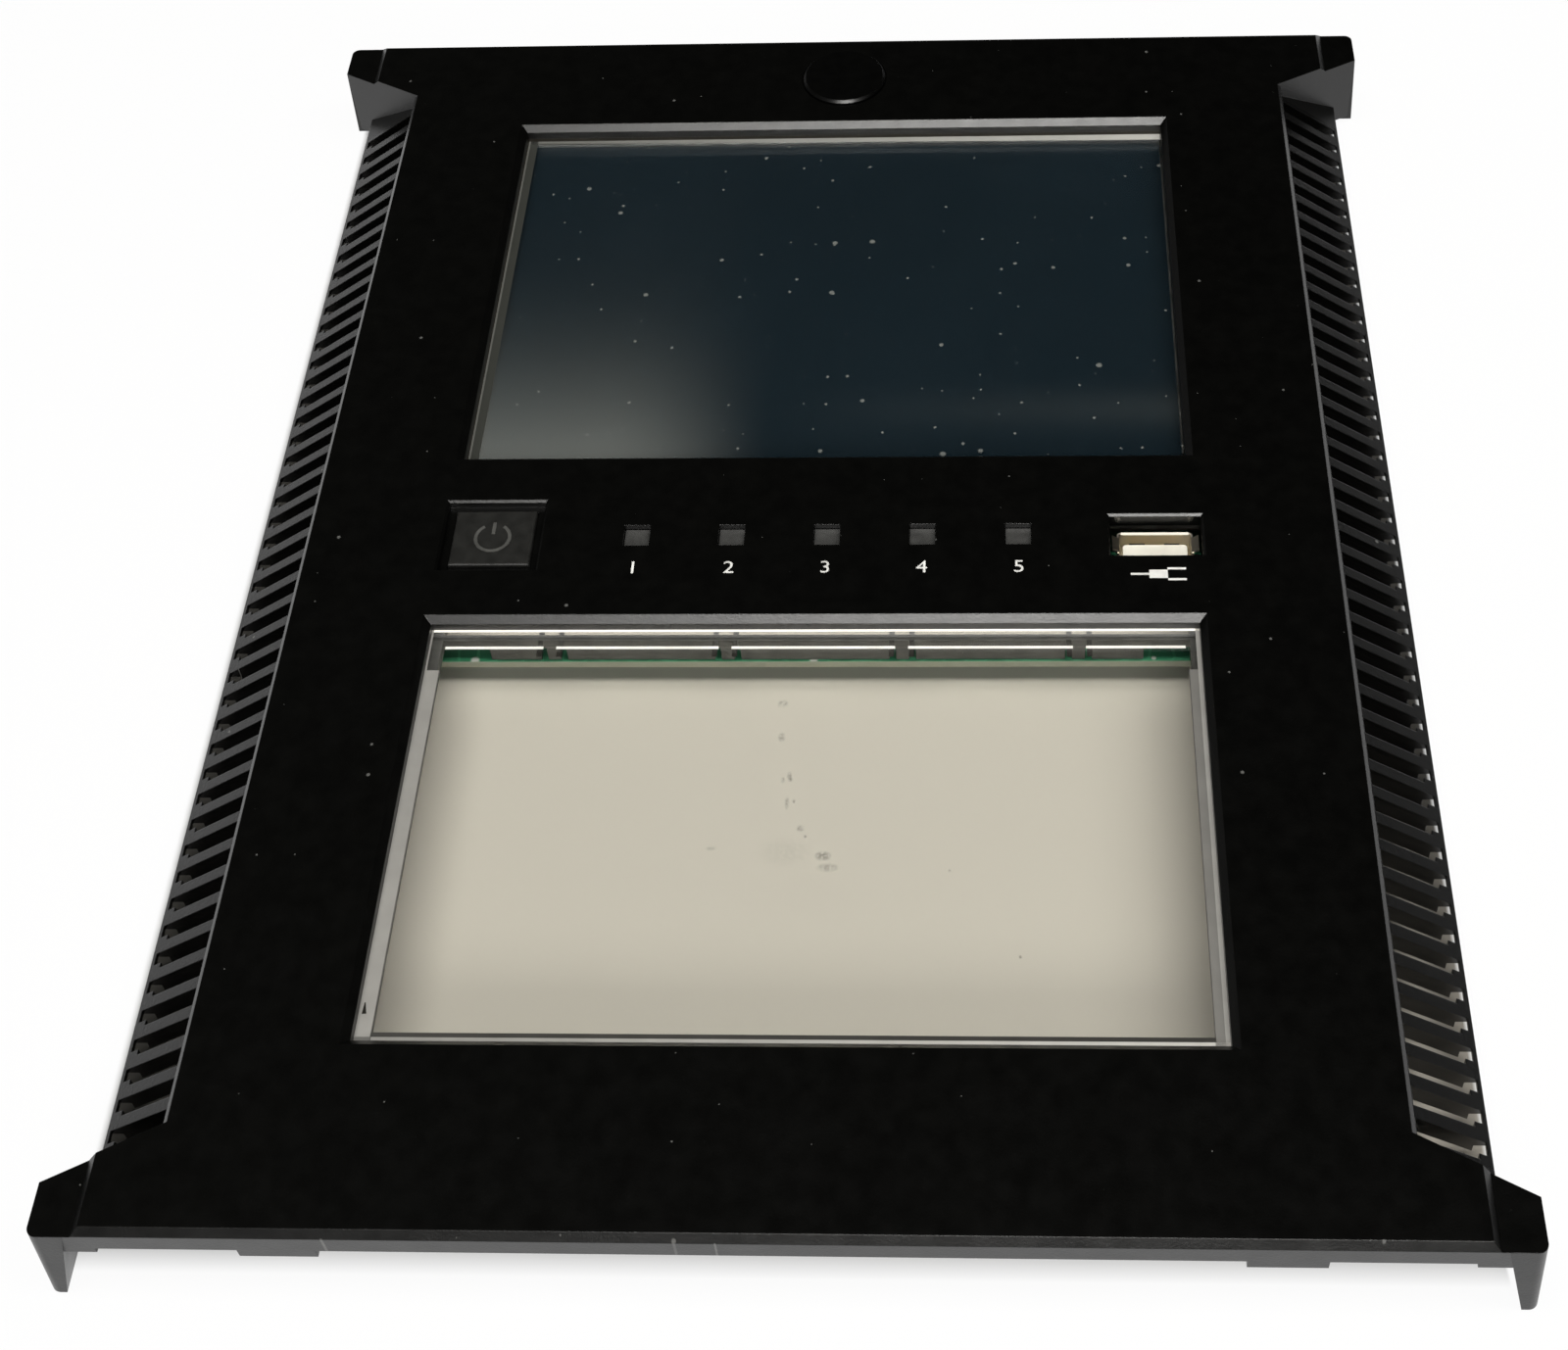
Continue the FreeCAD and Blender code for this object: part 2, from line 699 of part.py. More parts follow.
def cut_openings(body):
    """Screen, window, button, lamp and port openings through the face, with their bevels and recesses."""
    double_bevel = "2 * opening_bevel"
    screen = rectangle("0", "screen_y", SCREEN_OPENING_WIDTH, SCREEN_OPENING_HEIGHT)
    window = rectangle("0", "window_y", f"window_width - {double_bevel}", f"window_height - {double_bevel}")
    gap = "2 * button_clearance"
    button = rectangle("button_x", "button_y", f"button_width + {gap}", f"button_height + {gap}")
    port = rectangle("port_x", "port_y", "port_width", "port_height")
    lamps = [rectangle(lamp_place(i), "lamp_y", "lamp_hole", "lamp_hole") for i in range(LAMP_COUNT)]
    cut_down(body, plan(body, "openings", FACE, [screen, window, button, port, *lamps]), "face_wall")
    recess = rectangle("button_x", "button_y", "recess_width", "recess_height")
    cut_down(body, plan(body, "button_recess", FACE, [recess]), "recess_depth")
    seat = ("0", "badge_y", "badge_diameter + 2 * badge_clearance")
    cut_down(body, plan(body, "badge_seat", FACE, circles=[seat]), "badge_recess")

    def around(edge, x, y, width, height):
        middle = edge.BoundBox.Center
        across = abs(middle.x - number(x)) < number(width) / 2 + 1e-3
        along = abs(middle.y - number(y)) < number(height) / 2 + 1e-3
        return level_edge(edge, FACE) and across and along

    def large_opening(edge):
        at_screen = around(edge, "0", "screen_y", "screen_width", "screen_height")
        return at_screen or around(edge, "0", "window_y", "window_width", "window_height")

    def small_opening(edge):
        at_port = around(edge, "port_x", "port_y", "port_width", "port_height")
        return at_port or around(edge, "button_x", "button_y", "recess_width", "recess_height")

    dress(body, "Chamfer", "opening_bevels", "Size", "opening_bevel", large_opening)
    dress(body, "Chamfer", "port_edges", "Size", "port_chamfer", small_opening)


def add_bosses(body):
    """Square screw posts, round chassis bosses and stiffening ribs behind the face."""
    rows = (
        ("bracket_posts", bracket_places(), BRACKET_TOP),
        ("board_posts", board_places(), BOARD_TOP),
    )
    for name, places, level in rows:
        posts = [rectangle(x, y, "post_width", "post_width") for x, y in places]
        pad_down(body, plan(body, name, UNDERSIDE, posts), f"{UNDERSIDE} - {level}")
    bosses = [(x, y, "mount_boss") for x, y in mount_places()]
    pad_down(body, plan(body, "mount_bosses", UNDERSIDE, circles=bosses), "mount_boss_height")
    ribs = []
    middle = f"({INNER_LENGTH} - rib_length / 2)"
    for end in SIDES:
        for step in RIB_STEPS:
            ribs.append(rectangle(f"{step} * rib_pitch", f"{end} * {middle}", "rib_thickness", "rib_length"))
    pad_down(body, plan(body, "face_ribs", UNDERSIDE, ribs), "rib_depth")
    pilots = [(x, y, "screw_pilot") for x, y in bracket_places() + board_places()]
    pilots += [(x, y, "mount_pilot") for x, y in mount_places()]
    cut_up(body, plan(body, "pilot_holes", "0", circles=pilots), UNDERSIDE)


def draw_hook(sketch, ear, side):
    """Section of a hook beside the edge of an ear: an upright wall and a bevelled nose under the ear."""
    inner = f"({ear} + {side} * hook_gap)"
    outer = f"({inner} + {side} * hook_wall)"
    nose = f"({ear} - {side} * hook_bite)"
    foot = f"({RETAINER_BACK} - hook_drop)"
    lip = f"({RETAINER_BACK} - hook_lip)"
    upright = [(inner, UNDERSIDE), (outer, UNDERSIDE), (outer, foot), (inner, foot)]
    draw_polygon(sketch, upright + [(nose, lip), (nose, RETAINER_BACK), (inner, RETAINER_BACK)])


def add_hooks(body):
    """Snap hooks on both sides of the window and below it."""
    ear = f"({SKIRT_HALF} + ear_reach)"
    sketches = []
    for end, word in zip(SIDES, ("upper", "lower")):
        sketch = new_sketch(body, f"{word}_hooks", "XZ_Plane", f"-{side_ear_place(end)}")
        for side in SIDES:
            draw_hook(sketch, f"{side} * {ear}", side)
        sketches.append(sketch)
    for side, word in zip(SIDES, ("right", "left")):
        sketch = new_sketch(body, f"{word}_end_hook", "YZ_Plane", end_ear_place(side))
        draw_hook(sketch, f"({SKIRT_BOTTOM} - ear_reach)", -1)
        sketches.append(sketch)
    for sketch in sketches:
        hooks = extrude(body, "Pad", sketch, "hook_width", False)
        hooks.SideType = "Symmetric"


def front_bezel():
    """Black moulding that everything else is fastened to."""
    body = new_body("front_bezel")
    add_outline(body)
    add_bands(body)
    hollow_back(body)
    add_legs(body)
    add_end_rims(body)

    def tip_edge(edge):
        box = edge.BoundBox
        upright = box.ZLength > number(SHOULDER) - number(SHOULDER) / 10
        across = abs(box.Center.x) > number(HALF_SPAN) - 1e-3
        along = abs(box.Center.y) > number(HALF_LENGTH) - 1e-3
        return upright and across and along

    dress(body, "Fillet", "horn_tips", "Radius", "tip_radius", tip_edge)
    cut_openings(body)
    add_bosses(body)
    add_hooks(body)
    cut_louvres(body)


def badge_disc():
    """Plain round badge with a bevelled rim, seated in its shallow recess."""
    level = f"{FACE} - badge_recess"
    straight = "(badge_thickness - badge_bevel)"
    base = post("badge_base", "0", "badge_y", level, "badge_diameter", straight)
    top_level = f"{level} + {straight}"
    top_diameter = "badge_diameter - 2 * badge_bevel"
    top = taper("badge_top", "0", "badge_y", top_level, "badge_diameter", top_diameter, "badge_bevel")
    listed(joined("badge_disc", [base, top]), "badge_disc")


def screen_gasket():
    """Foam frame between the bezel and the touch glass."""
    level = TOUCH_TOP
    thickness = "gasket_thickness"
    outer = block("gasket_outer", "0", "screen_y", level, TOUCH_WIDTH, TOUCH_HEIGHT, thickness)
    width = SCREEN_OPENING_WIDTH
    height = SCREEN_OPENING_HEIGHT
    inner = block("gasket_inner", "0", "screen_y", level, width, height, thickness)
    listed(carved("screen_gasket", outer, inner), "screen_gasket")


def touch_panel():
    """Touch glass behind the screen opening."""
    thickness = "touch_thickness"
    item = block("touch_panel", "0", "screen_y", DISPLAY_TOP, TOUCH_WIDTH, TOUCH_HEIGHT, thickness)
    listed(item, "touch_panel")


def display_frame():
    """Folded sheet can, open at the back, with a lip round the front of the cell."""
    body = new_body("display_frame")
    outer = rectangle("0", "screen_y", DISPLAY_WIDTH, DISPLAY_HEIGHT)
    pad_down(body, plan(body, "can", DISPLAY_TOP, [outer]), "display_thickness")
    double_sheet = "2 * display_sheet"
    inner = rectangle(
        "0", "screen_y", f"{DISPLAY_WIDTH} - {double_sheet}", f"{DISPLAY_HEIGHT} - {double_sheet}"
    )
    cut_up(body, plan(body, "can_inside", BRACKET_TOP, [inner]), "display_thickness - display_sheet")
    double_border = "2 * display_border"
    view = rectangle(
        "0", "screen_y", f"{DISPLAY_WIDTH} - {double_border}", f"{DISPLAY_HEIGHT} - {double_border}"
    )
    cut_down(body, plan(body, "can_view", DISPLAY_TOP, [view]), "display_sheet")


def display_cell():
    """Display and its back light, one sealed block inside the can."""
    room = "2 * (display_sheet + cell_clearance)"
    item = block(
        "display_cell",
        "0",
        "screen_y",
        BRACKET_TOP,
        f"{DISPLAY_WIDTH} - {room}",
        f"{DISPLAY_HEIGHT} - {room}",
        "display_thickness - display_sheet",
    )
    listed(item, "display_cell")


def screen_bracket():
    """Sheet bracket with two windows and two folded flanges, screwed over the display stack."""
    body = new_body("screen_bracket")
    outer = rectangle("0", "screen_y", BRACKET_WIDTH, BRACKET_HEIGHT)
    width = f"({BRACKET_WIDTH} / 2 - bracket_border - bracket_web / 2)"
    height = f"({BRACKET_HEIGHT} - 2 * bracket_border)"
    middle = f"(bracket_web + {width}) / 2"
    cutouts = [rectangle(f"{side} * {middle}", "screen_y", width, height) for side in SIDES]
    holes = [(x, y, "screw_hole") for x, y in bracket_places()]
    sheet_plan = plan(body, "bracket_sheet", BRACKET_TOP, [outer, *cutouts], holes)
    pad_down(body, sheet_plan, "bracket_thickness")
    edge = f"({BRACKET_HEIGHT} - bracket_thickness) / 2"
    flanges = [
        rectangle("0", f"screen_y + {end} * {edge}", BRACKET_WIDTH, "bracket_thickness") for end in SIDES
    ]
    pad_down(body, plan(body, "bracket_flanges", BRACKET_BACK, flanges), "bracket_flange")


def control_board():
    """Circuit board that carries the switch, the lamps and the port."""
    body = new_body("control_board")
    outline = rectangle("0", BOARD_MIDDLE, "board_width", "board_height")
    holes = [(x, y, "screw_hole") for x, y in board_places()]
    pad_down(body, plan(body, "board_outline", BOARD_TOP, [outline], holes), "board_thickness")


def screw_group(name, places, seat):
    """Pan head screws, driven from behind into the bosses, with their heads under a seat level."""
    screws = []
    for index, (x, y) in enumerate(places, start=1):
        label = f"{name}_{index}"
        head_level = f"{seat} - screw_head_height"
        crown = "0.8 * screw_head"
        head = taper(f"{label}_head", x, y, head_level, crown, "screw_head", "screw_head_height")
        shank = post(f"{label}_shank", x, y, seat, "screw_shank", "screw_grip")
        screws.append(joined(label, [head, shank]))
    listed(grouped(name, screws), name)


def connectors():
    """Cable header and flat flex socket on the back of the board."""
    level = f"{BOARD_BACK} - host_height"
    shell = block("host_shell", "host_x", BOARD_MIDDLE, level, "host_width", "host_depth", "host_height")
    width = "host_width - 2 * host_wall"
    depth = "host_depth - 2 * host_wall"
    room = block("host_room", "host_x", BOARD_MIDDLE, level, width, depth, "host_height - host_wall")
    listed(carved("host_connector", shell, room), "host_connector")
    level = f"{BOARD_BACK} - flex_height"
    shell = block("flex_shell", "flex_x", BOARD_MIDDLE, level, "flex_width", "flex_depth", "flex_height")
    width = "flex_width - 4 * flex_slit"
    slit = block("flex_mouth", "flex_x", BOARD_MIDDLE, level, width, "flex_slit", "flex_height - flex_slit")
    listed(carved("display_connector", shell, slit), "display_connector")


def power_button():
    """Cap with a flange behind the face and a stem that reaches down to the switch."""
    body = new_body("power_button")
    cap = rectangle("button_x", "button_y", "button_width", "button_height")
    top = f"({FACE} - button_sink)"
    pad_down(body, plan(body, "button_cap", top, [cap]), "face_wall - button_sink")

    def cap_edge(edge):
        return level_edge(edge, top)

    dress(body, "Fillet", "button_rounding", "Radius", "button_round", cap_edge)
    overlap = "2 * (button_clearance + button_flange)"
    flange = rectangle("button_x", "button_y", f"button_width + {overlap}", f"button_height + {overlap}")
    pad_down(body, plan(body, "button_collar", UNDERSIDE, [flange]), "button_flange_thickness")
    collar_back = f"({UNDERSIDE} - button_flange_thickness)"
    stem = [("button_x", "button_y", "stem_diameter")]
    pad_down(body, plan(body, "button_stem", collar_back, circles=stem), f"{collar_back} - {PLUNGER_TOP}")


def power_switch():
    """Push switch on the board: housing with a round well, and the plunger that runs in it."""
    well = "(plunger_depth + button_travel + plunger_room)"
    housing = block(
        "switch_case", "button_x", "button_y", BOARD_TOP, "switch_size", "switch_size", "switch_height"
    )
    well_level = f"{BOARD_TOP} + switch_height - {well}"
    bore = "plunger_diameter + 2 * plunger_clearance"
    tool = post("switch_well", "button_x", "button_y", well_level, bore, well)
    listed(carved("switch_housing", housing, tool), "switch_housing")
    length = "plunger_depth + plunger_reach"
    level = f"{PLUNGER_TOP} - ({length})"
    plunger = post("switch_plunger", "button_x", "button_y", level, "plunger_diameter", length)
    listed(plunger, "switch_plunger")


def status_lamp(index):
    """Square light pipe with a flange behind the face, and the lamp on the board below it."""
    x = lamp_place(index)
    body = new_body(f"status_lens_{index + 1}")
    size = "lamp_hole - 2 * lamp_clearance"
    head = rectangle(x, "lamp_y", size, size)
    head_top = f"{FACE} - lamp_sink"
    pad_down(body, plan(body, f"lens_head_{index}", head_top, [head]), "face_wall - lamp_sink")
    wide = "lamp_hole + 2 * lamp_flange"
    flange = rectangle(x, "lamp_y", wide, wide)
    flange_plan = plan(body, f"lens_flange_{index}", UNDERSIDE, [flange])
    pad_down(body, flange_plan, "lamp_flange_thickness")
    pipe_top = f"{UNDERSIDE} - lamp_flange_thickness"
    wedge(
        body,
        f"lens_pipe_{index}",
        (f"{LED_TOP} + led_gap", pipe_top),
        lamp_edges(x, "lamp_foot"),
        lamp_edges(x, size),
    )
    name = f"status_led_{index + 1}"
    listed(block(name, x, "lamp_y", BOARD_TOP, "led_width", "led_depth", "led_height"), name)


def service_port():
    """Upright port: folded shell with flared lips, insulator with its tongue, and four contact strips."""
    body = new_body("port_shell")
    outer = rectangle("port_x", "port_y", "shell_width", "shell_height")
    height = f"{SHELL_MOUTH} - {BOARD_TOP}"
    pad_down(body, plan(body, "shell_outline", SHELL_MOUTH, [outer]), height)

    def upright_edge(edge):
        return close(edge.BoundBox.ZLength, height)

    dress(body, "Fillet", "shell_corners", "Radius", "shell_round", upright_edge)
    inner_width = "shell_width - 2 * shell_wall"
    inner_height = "shell_height - 2 * shell_wall"
    inner = rectangle("port_x", "port_y", inner_width, inner_height)
    cut_down(body, plan(body, "shell_inside", SHELL_MOUTH, [inner]), height)
    lips = new_sketch(body, "shell_lips", "XZ_Plane", "-(port_y)")
    for side in SIDES:
        near = f"port_x + {side} * (shell_width / 2 - shell_wall)"
        wall = f"port_x + {side} * shell_width / 2"
        far = f"port_x + {side} * (shell_width / 2 + lip_reach)"
        low = f"{SHELL_MOUTH} - shell_wall"
        tip = f"{SHELL_MOUTH} + lip_reach"
        corners = [(near, low), (wall, low), (far, f"{tip} - shell_wall"), (far, tip), (near, SHELL_MOUTH)]
        draw_polygon(lips, corners)
    flare = body.newObject("PartDesign::Pad", "shell_flare")
    flare.Profile = lips
    flare.SideType = "Symmetric"
    bind(flare, "Length", "lip_height")
    body.Tip = flare
    gap = "2 * insulator_clearance"
    base = block(
        "port_base",
        "port_x",
        "port_y",
        BOARD_TOP,
        f"{inner_width} - {gap}",
        f"{inner_height} - {gap}",
        "insulator_base",
    )
    tongue_level = f"{BOARD_TOP} + insulator_base"
    tongue_height = f"{SHELL_MOUTH} - tongue_sink - ({tongue_level})"
    tongue_y = "port_y - tongue_drop"
    tongue = block(
        "port_tongue", "port_x", tongue_y, tongue_level, "tongue_width", "tongue_thickness", tongue_height
    )
    listed(joined("port_insulator", [base, tongue]), "port_insulator")
    strips = []
    strip_y = f"{tongue_y} + (tongue_thickness + contact_thickness) / 2"
    strip_level = f"{SHELL_MOUTH} - 2 * tongue_sink - contact_length"
    places = [f"{side} * {place}" for side in SIDES for place in ("contact_inner", "contact_outer")]
    for index, place in enumerate(places, start=1):
        x = f"port_x + {place}"
        width = "contact_width"
        depth = "contact_thickness"
        strips.append(block(f"contact_{index}", x, strip_y, strip_level, width, depth, "contact_length"))
    listed(grouped("port_contacts", strips), "port_contacts")


def window_pane():
    """Thick clear pane behind the window opening."""
    width = f"2 * {PANE_HALF}"
    height = f"{PANE_TOP} - {PANE_BOTTOM}"
    middle = f"({PANE_TOP} + {PANE_BOTTOM}) / 2"
    item = block("window_pane", "0", middle, PANE_BACK, width, height, "pane_thickness")
    listed(item, "window_pane")


def window_retainer():
    """Frame round the pane, with ears for the hooks and a hood wall cut into spring fingers."""
    body = new_body("window_retainer")
    outer = spanned(f"-{SKIRT_HALF}", SKIRT_HALF, SKIRT_BOTTOM, SKIRT_TOP)
    pad_down(body, plan(body, "retainer_frame", UNDERSIDE, [outer]), "pane_thickness + retainer_plate")
    gap = "pane_clearance"
    pocket = spanned(
        f"-({PANE_HALF} + {gap})", f"{PANE_HALF} + {gap}", f"{PANE_BOTTOM} - {gap}", f"{PANE_TOP} + {gap}"
    )
    cut_down(body, plan(body, "pane_pocket", UNDERSIDE, [pocket]), "pane_thickness")
    tunnel = spanned(f"-{TUNNEL_HALF}", TUNNEL_HALF, TUNNEL_BOTTOM, TUNNEL_TOP)
    cut_down(body, plan(body, "tunnel", PANE_BACK, [tunnel]), "retainer_plate")
    ears = []
    for side in SIDES:
        edge = f"{side} * {SKIRT_HALF}"
        reach = f"{side} * ({SKIRT_HALF} + ear_reach)"
        for end in SIDES:
            low = f"{side_ear_place(end)} - ear_width / 2"
            high = f"{side_ear_place(end)} + ear_width / 2"
            ears.append(spanned(edge, reach, low, high))
        left = f"{end_ear_place(side)} - ear_width / 2"
        right = f"{end_ear_place(side)} + ear_width / 2"
        ears.append(spanned(left, right, f"{SKIRT_BOTTOM} - ear_reach", SKIRT_BOTTOM))
    pad_down(body, plan(body, "retainer_ears", PANE_BACK, ears), "retainer_plate")
    hood = spanned("-hood_width / 2", "hood_width / 2", TUNNEL_TOP, f"{TUNNEL_TOP} + hood_wall")
    pad_down(body, plan(body, "hood", RETAINER_BACK, [hood]), "hood_depth - retainer_plate")
    slits = []
    for step in FINGER_STEPS:
        for side in SIDES:
            x = f"{step} * finger_pitch + {side} * (finger_width + finger_slit) / 2"
            slits.append(rectangle(x, f"{TUNNEL_TOP} + hood_wall / 2", "finger_slit", "hood_wall"))
    cut_down(body, plan(body, "finger_slits", RETAINER_BACK, slits), "hood_depth - retainer_plate")


def check_objects():
    """Stop if any object failed or any node is empty or invalid."""
    for item in document.Objects:
        if "Invalid" in item.State or "Error" in item.State:
            raise RuntimeError(f"{item.Name} is {item.State}")
    for name, item in nodes.items():
        if item.Shape.isNull() or not item.Shape.isValid():
            raise RuntimeError(f"{name} has no valid shape")


def write_nodes():
    """Write one file for each node."""
    os.makedirs("parts", exist_ok=True)
    for name, item in nodes.items():
        item.Shape.exportStep(f"parts/{name}.step")
        print(f"{name}: {len(item.Shape.Solids)} solids, {item.Shape.Volume:.1f} mm3")


front_bezel()
badge_disc()
screen_gasket()
touch_panel()
display_frame()
display_cell()
screen_bracket()
screw_group("bracket_screws", bracket_places(), BRACKET_BACK)
control_board()
screw_group("board_screws", board_places(), BOARD_BACK)
connectors()
power_button()
power_switch()
for lamp in range(LAMP_COUNT):
    status_lamp(lamp)
service_port()
window_pane()
window_retainer()
document.recompute()
check_objects()
write_nodes()
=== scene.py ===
"""Looks of the tape library bezel: its finishes, print, dust, painted highlights, reflections and shade,
light and camera.
"""

import logging
import math
from dataclasses import dataclass, field
from enum import Enum
from functools import cache
from typing import Optional, Sequence

import bpy
import numpy as np
from mathutils import Matrix, Vector


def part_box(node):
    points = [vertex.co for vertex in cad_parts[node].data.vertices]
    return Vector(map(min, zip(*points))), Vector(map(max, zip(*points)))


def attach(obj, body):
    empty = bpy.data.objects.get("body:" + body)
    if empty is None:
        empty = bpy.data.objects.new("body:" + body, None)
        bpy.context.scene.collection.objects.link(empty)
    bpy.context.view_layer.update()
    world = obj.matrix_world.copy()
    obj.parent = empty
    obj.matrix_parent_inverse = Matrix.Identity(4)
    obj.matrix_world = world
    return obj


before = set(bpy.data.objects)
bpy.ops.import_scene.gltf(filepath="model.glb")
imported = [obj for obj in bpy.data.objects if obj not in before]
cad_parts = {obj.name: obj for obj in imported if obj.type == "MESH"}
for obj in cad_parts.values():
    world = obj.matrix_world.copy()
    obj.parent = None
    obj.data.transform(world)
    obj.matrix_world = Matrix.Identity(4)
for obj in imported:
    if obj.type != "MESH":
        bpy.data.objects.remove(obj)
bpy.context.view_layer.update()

MILLIMETRE = 0.001
PRINT_THICKNESS = 0.00003
FILM_LIFT = 0.00002
EDGE_THICKNESS = 0.00004
LOUVRE_START = 0.0872
LOUVRE_REACH = 0.115
LOUVRE_LEVEL = 0.0178
BEVEL_SAMPLES = 4
LAMPS = 5
SECTION = 4
TONE = "tone"

Colour = tuple[float, float, float]
Place = tuple[float, float, float]
Pair = tuple[float, float]
Mesh = tuple[np.ndarray, np.ndarray]
UNIT: Pair = (0.0, 1.0)
DARK: Pair = (0.0, 0.0)
PALE: Pair = (1.0, 1.0)
log = logging.getLogger("tape_library_bezel")


class Body(Enum):
    """Bodies of the frame that new pieces ride on."""

    BEZEL = "bezel"
    BUTTON = "button"


class Pattern(Enum):
    """What a thin film on a clear surface shows."""

    # Dust specks, with a painted reflection haze that the tone attribute gives.
    DUST = "dust"
    SCUFFS = "scuffs"


class Texture(Enum):
    """Grain of a moulding: its size and its depth, in metres."""

    FACE = (0.00042, 0.000026)
    FOAM = (0.0003, 0.00005)
    FRAME = (0.0004, 0.00001)
    SATIN = (0.0003, 0.000012)
    BADGE = (0.0003, 0.000008)
    SMOOTH = (0.0003, 0.000004)
    PRINT = (0.0003, 0.000003)
    FINE = (0.0002, 0.000004)
    RESIN = (0.0002, 0.000002)


class Graph:
    """A node tree with short calls that add nodes and join them."""

    def __init__(self, tree: bpy.types.NodeTree) -> None:
        """Take hold of the node tree of a material, a world or a group."""
        self.tree = tree

    def node(self, kind: str, **settings: object) -> bpy.types.Node:
        """Add a node.

        Args:
            kind: Blender's name for the node, without the Shader prefix.
            settings: Properties set on the node.

        Returns:
            The new node.
        """
        made = self.tree.nodes.new(kind if kind.startswith("NodeGroup") else f"ShaderNode{kind}")
        for name, value in settings.items():
            setattr(made, name, value)
        return made

    def feed(self, socket: bpy.types.NodeSocket, value: object) -> None:
        """Join an output to a socket, or set the socket to a plain value.

        Args:
            socket: Input socket.
            value: Output socket, number, colour or vector.
        """
        if isinstance(value, bpy.types.NodeSocket):
            self.tree.links.new(value, socket)
        elif hasattr(socket.default_value, "__len__") and len(socket.default_value) == 4 and len(value) == 3:
            socket.default_value = (*value, 1.0)
        else:
            socket.default_value = value

    def fill(self, node: bpy.types.Node, inputs: dict[str | int, object]) -> bpy.types.Node:
        """Feed several inputs of a node.

        Args:
            node: The node.
            inputs: Value of each input, by its name or number.

        Returns:
            The node.
        """
        for name, value in inputs.items():
            self.feed(node.inputs[name], value)
        return node

    def math(self, operation: str, *values: object) -> bpy.types.NodeSocket:
        """Combine values: the first two, then the result with the next.

        Args:
            operation: Name of the operation.
            values: Numbers or output sockets.

        Returns:
            Output of the last operation.
        """
        result = values[0]
        for value in values[1:] or (0.0,):
            node = self.node("Math", operation=operation)
            result = self.fill(node, {0: result, 1: value}).outputs[0]
        return result

    def spread(
        self, value: object, source: Sequence[object], target: Sequence[object]
    ) -> bpy.types.NodeSocket:
        """Map a value from the source range to the target range, held within it."""
        return self.fill(self.node("MapRange"), dict(enumerate((value, *source, *target)))).outputs[0]

    def blend(self, share: object, first: object, second: object) -> bpy.types.NodeSocket:
        """Mix two colours, where a share of 1 shows only the second."""
        return self.fill(self.node("Mix", data_type="RGBA"), {0: share, 6: first, 7: second}).outputs[2]

    def effect(self, group: bpy.types.NodeTree, **values: object) -> bpy.types.Node:
        """Place a shared effect with its inputs, by name."""
        return self.fill(self.node("Group", node_tree=group), values)

    def place(self) -> bpy.types.NodeSocket:
        """Object coordinates, in metres."""
        return self.node("TexCoord").outputs["Object"]

    def axes(self, vector: bpy.types.NodeSocket) -> bpy.types.NodeOutputs:
        """X, Y and Z of a vector."""
        return self.fill(self.node("SeparateXYZ"), {0: vector}).outputs

    def tone(self) -> bpy.types.NodeSocket:
        """Tone attribute of the piece."""
        return self.node("Attribute", attribute_name=TONE).outputs["Fac"]

    def noise(self, scale: object, detail: float = 4.0, roughness: float = 0.5) -> bpy.types.NodeSocket:
        """Noise on object coordinates.

        Args:
            scale: Waves in a metre.
            detail: Number of finer layers.
            roughness: Strength of the finer layers.

        Returns:
            Noise, from 0 to 1.
        """
        inputs = {"Vector": self.place(), "Scale": scale, "Detail": detail, "Roughness": roughness}
        return self.fill(self.node("TexNoise"), inputs).outputs[0]

    def relief(self, height: object, depth: float, edge: float = 0.0) -> bpy.types.NodeSocket:
        """Normal of a raised surface.

        Args:
            height: Height over the surface, from 0 to 1.
            depth: Depth of the relief, in metres.
            edge: Radius that edges are softened by, in metres.

        Returns:
            The normal.
        """
        bump = self.fill(self.node("Bump"), {"Distance": depth, "Height": height})
        if edge:
            soft = self.fill(self.node("Bevel", samples=BEVEL_SAMPLES), {"Radius": edge})
            self.feed(bump.inputs["Normal"], soft.outputs[0])
        return bump.outputs[0]


def new_effect(
    name: str, inputs: dict[str, float], outputs: Sequence[str]
) -> tuple[Graph, bpy.types.NodeOutputs, bpy.types.NodeInputs]:
    """Start the node group of a shared effect.

    Args:
        name: Name of the group.
        inputs: Number inputs with their plain values.
        outputs: Number outputs.

    Returns:
        The group's graph, what is given to it and what it puts out.
    """
    tree = bpy.data.node_groups.new(name, "ShaderNodeTree")
    for label, value in inputs.items():
        socket = tree.interface.new_socket(label, in_out="INPUT", socket_type="NodeSocketFloat")
        socket.default_value = value
    for label in outputs:
        tree.interface.new_socket(label, in_out="OUTPUT", socket_type="NodeSocketFloat")
    graph = Graph(tree)
    return graph, graph.node("NodeGroupInput").outputs, graph.node("NodeGroupOutput").inputs


@cache
def mould_grain() -> bpy.types.NodeTree:
    """Fine moulded grain.

    Height is a noise of the given size. Shade is a broader noise, eight times as large.

    Returns:
        Group with Height and Shade.
    """
    broader = 8.0
    graph, given, result = new_effect("mould_grain", {"Size": 0.0004}, ("Height", "Shade"))
    scale = graph.math("DIVIDE", 1.0, given["Size"])
    graph.feed(result["Height"], graph.noise(scale, detail=3.0, roughness=0.65))
    broad = graph.noise(graph.math("DIVIDE", scale, broader))
    graph.feed(result["Shade"], graph.spread(broad, (0.3, 0.7), UNIT))
    return graph.tree


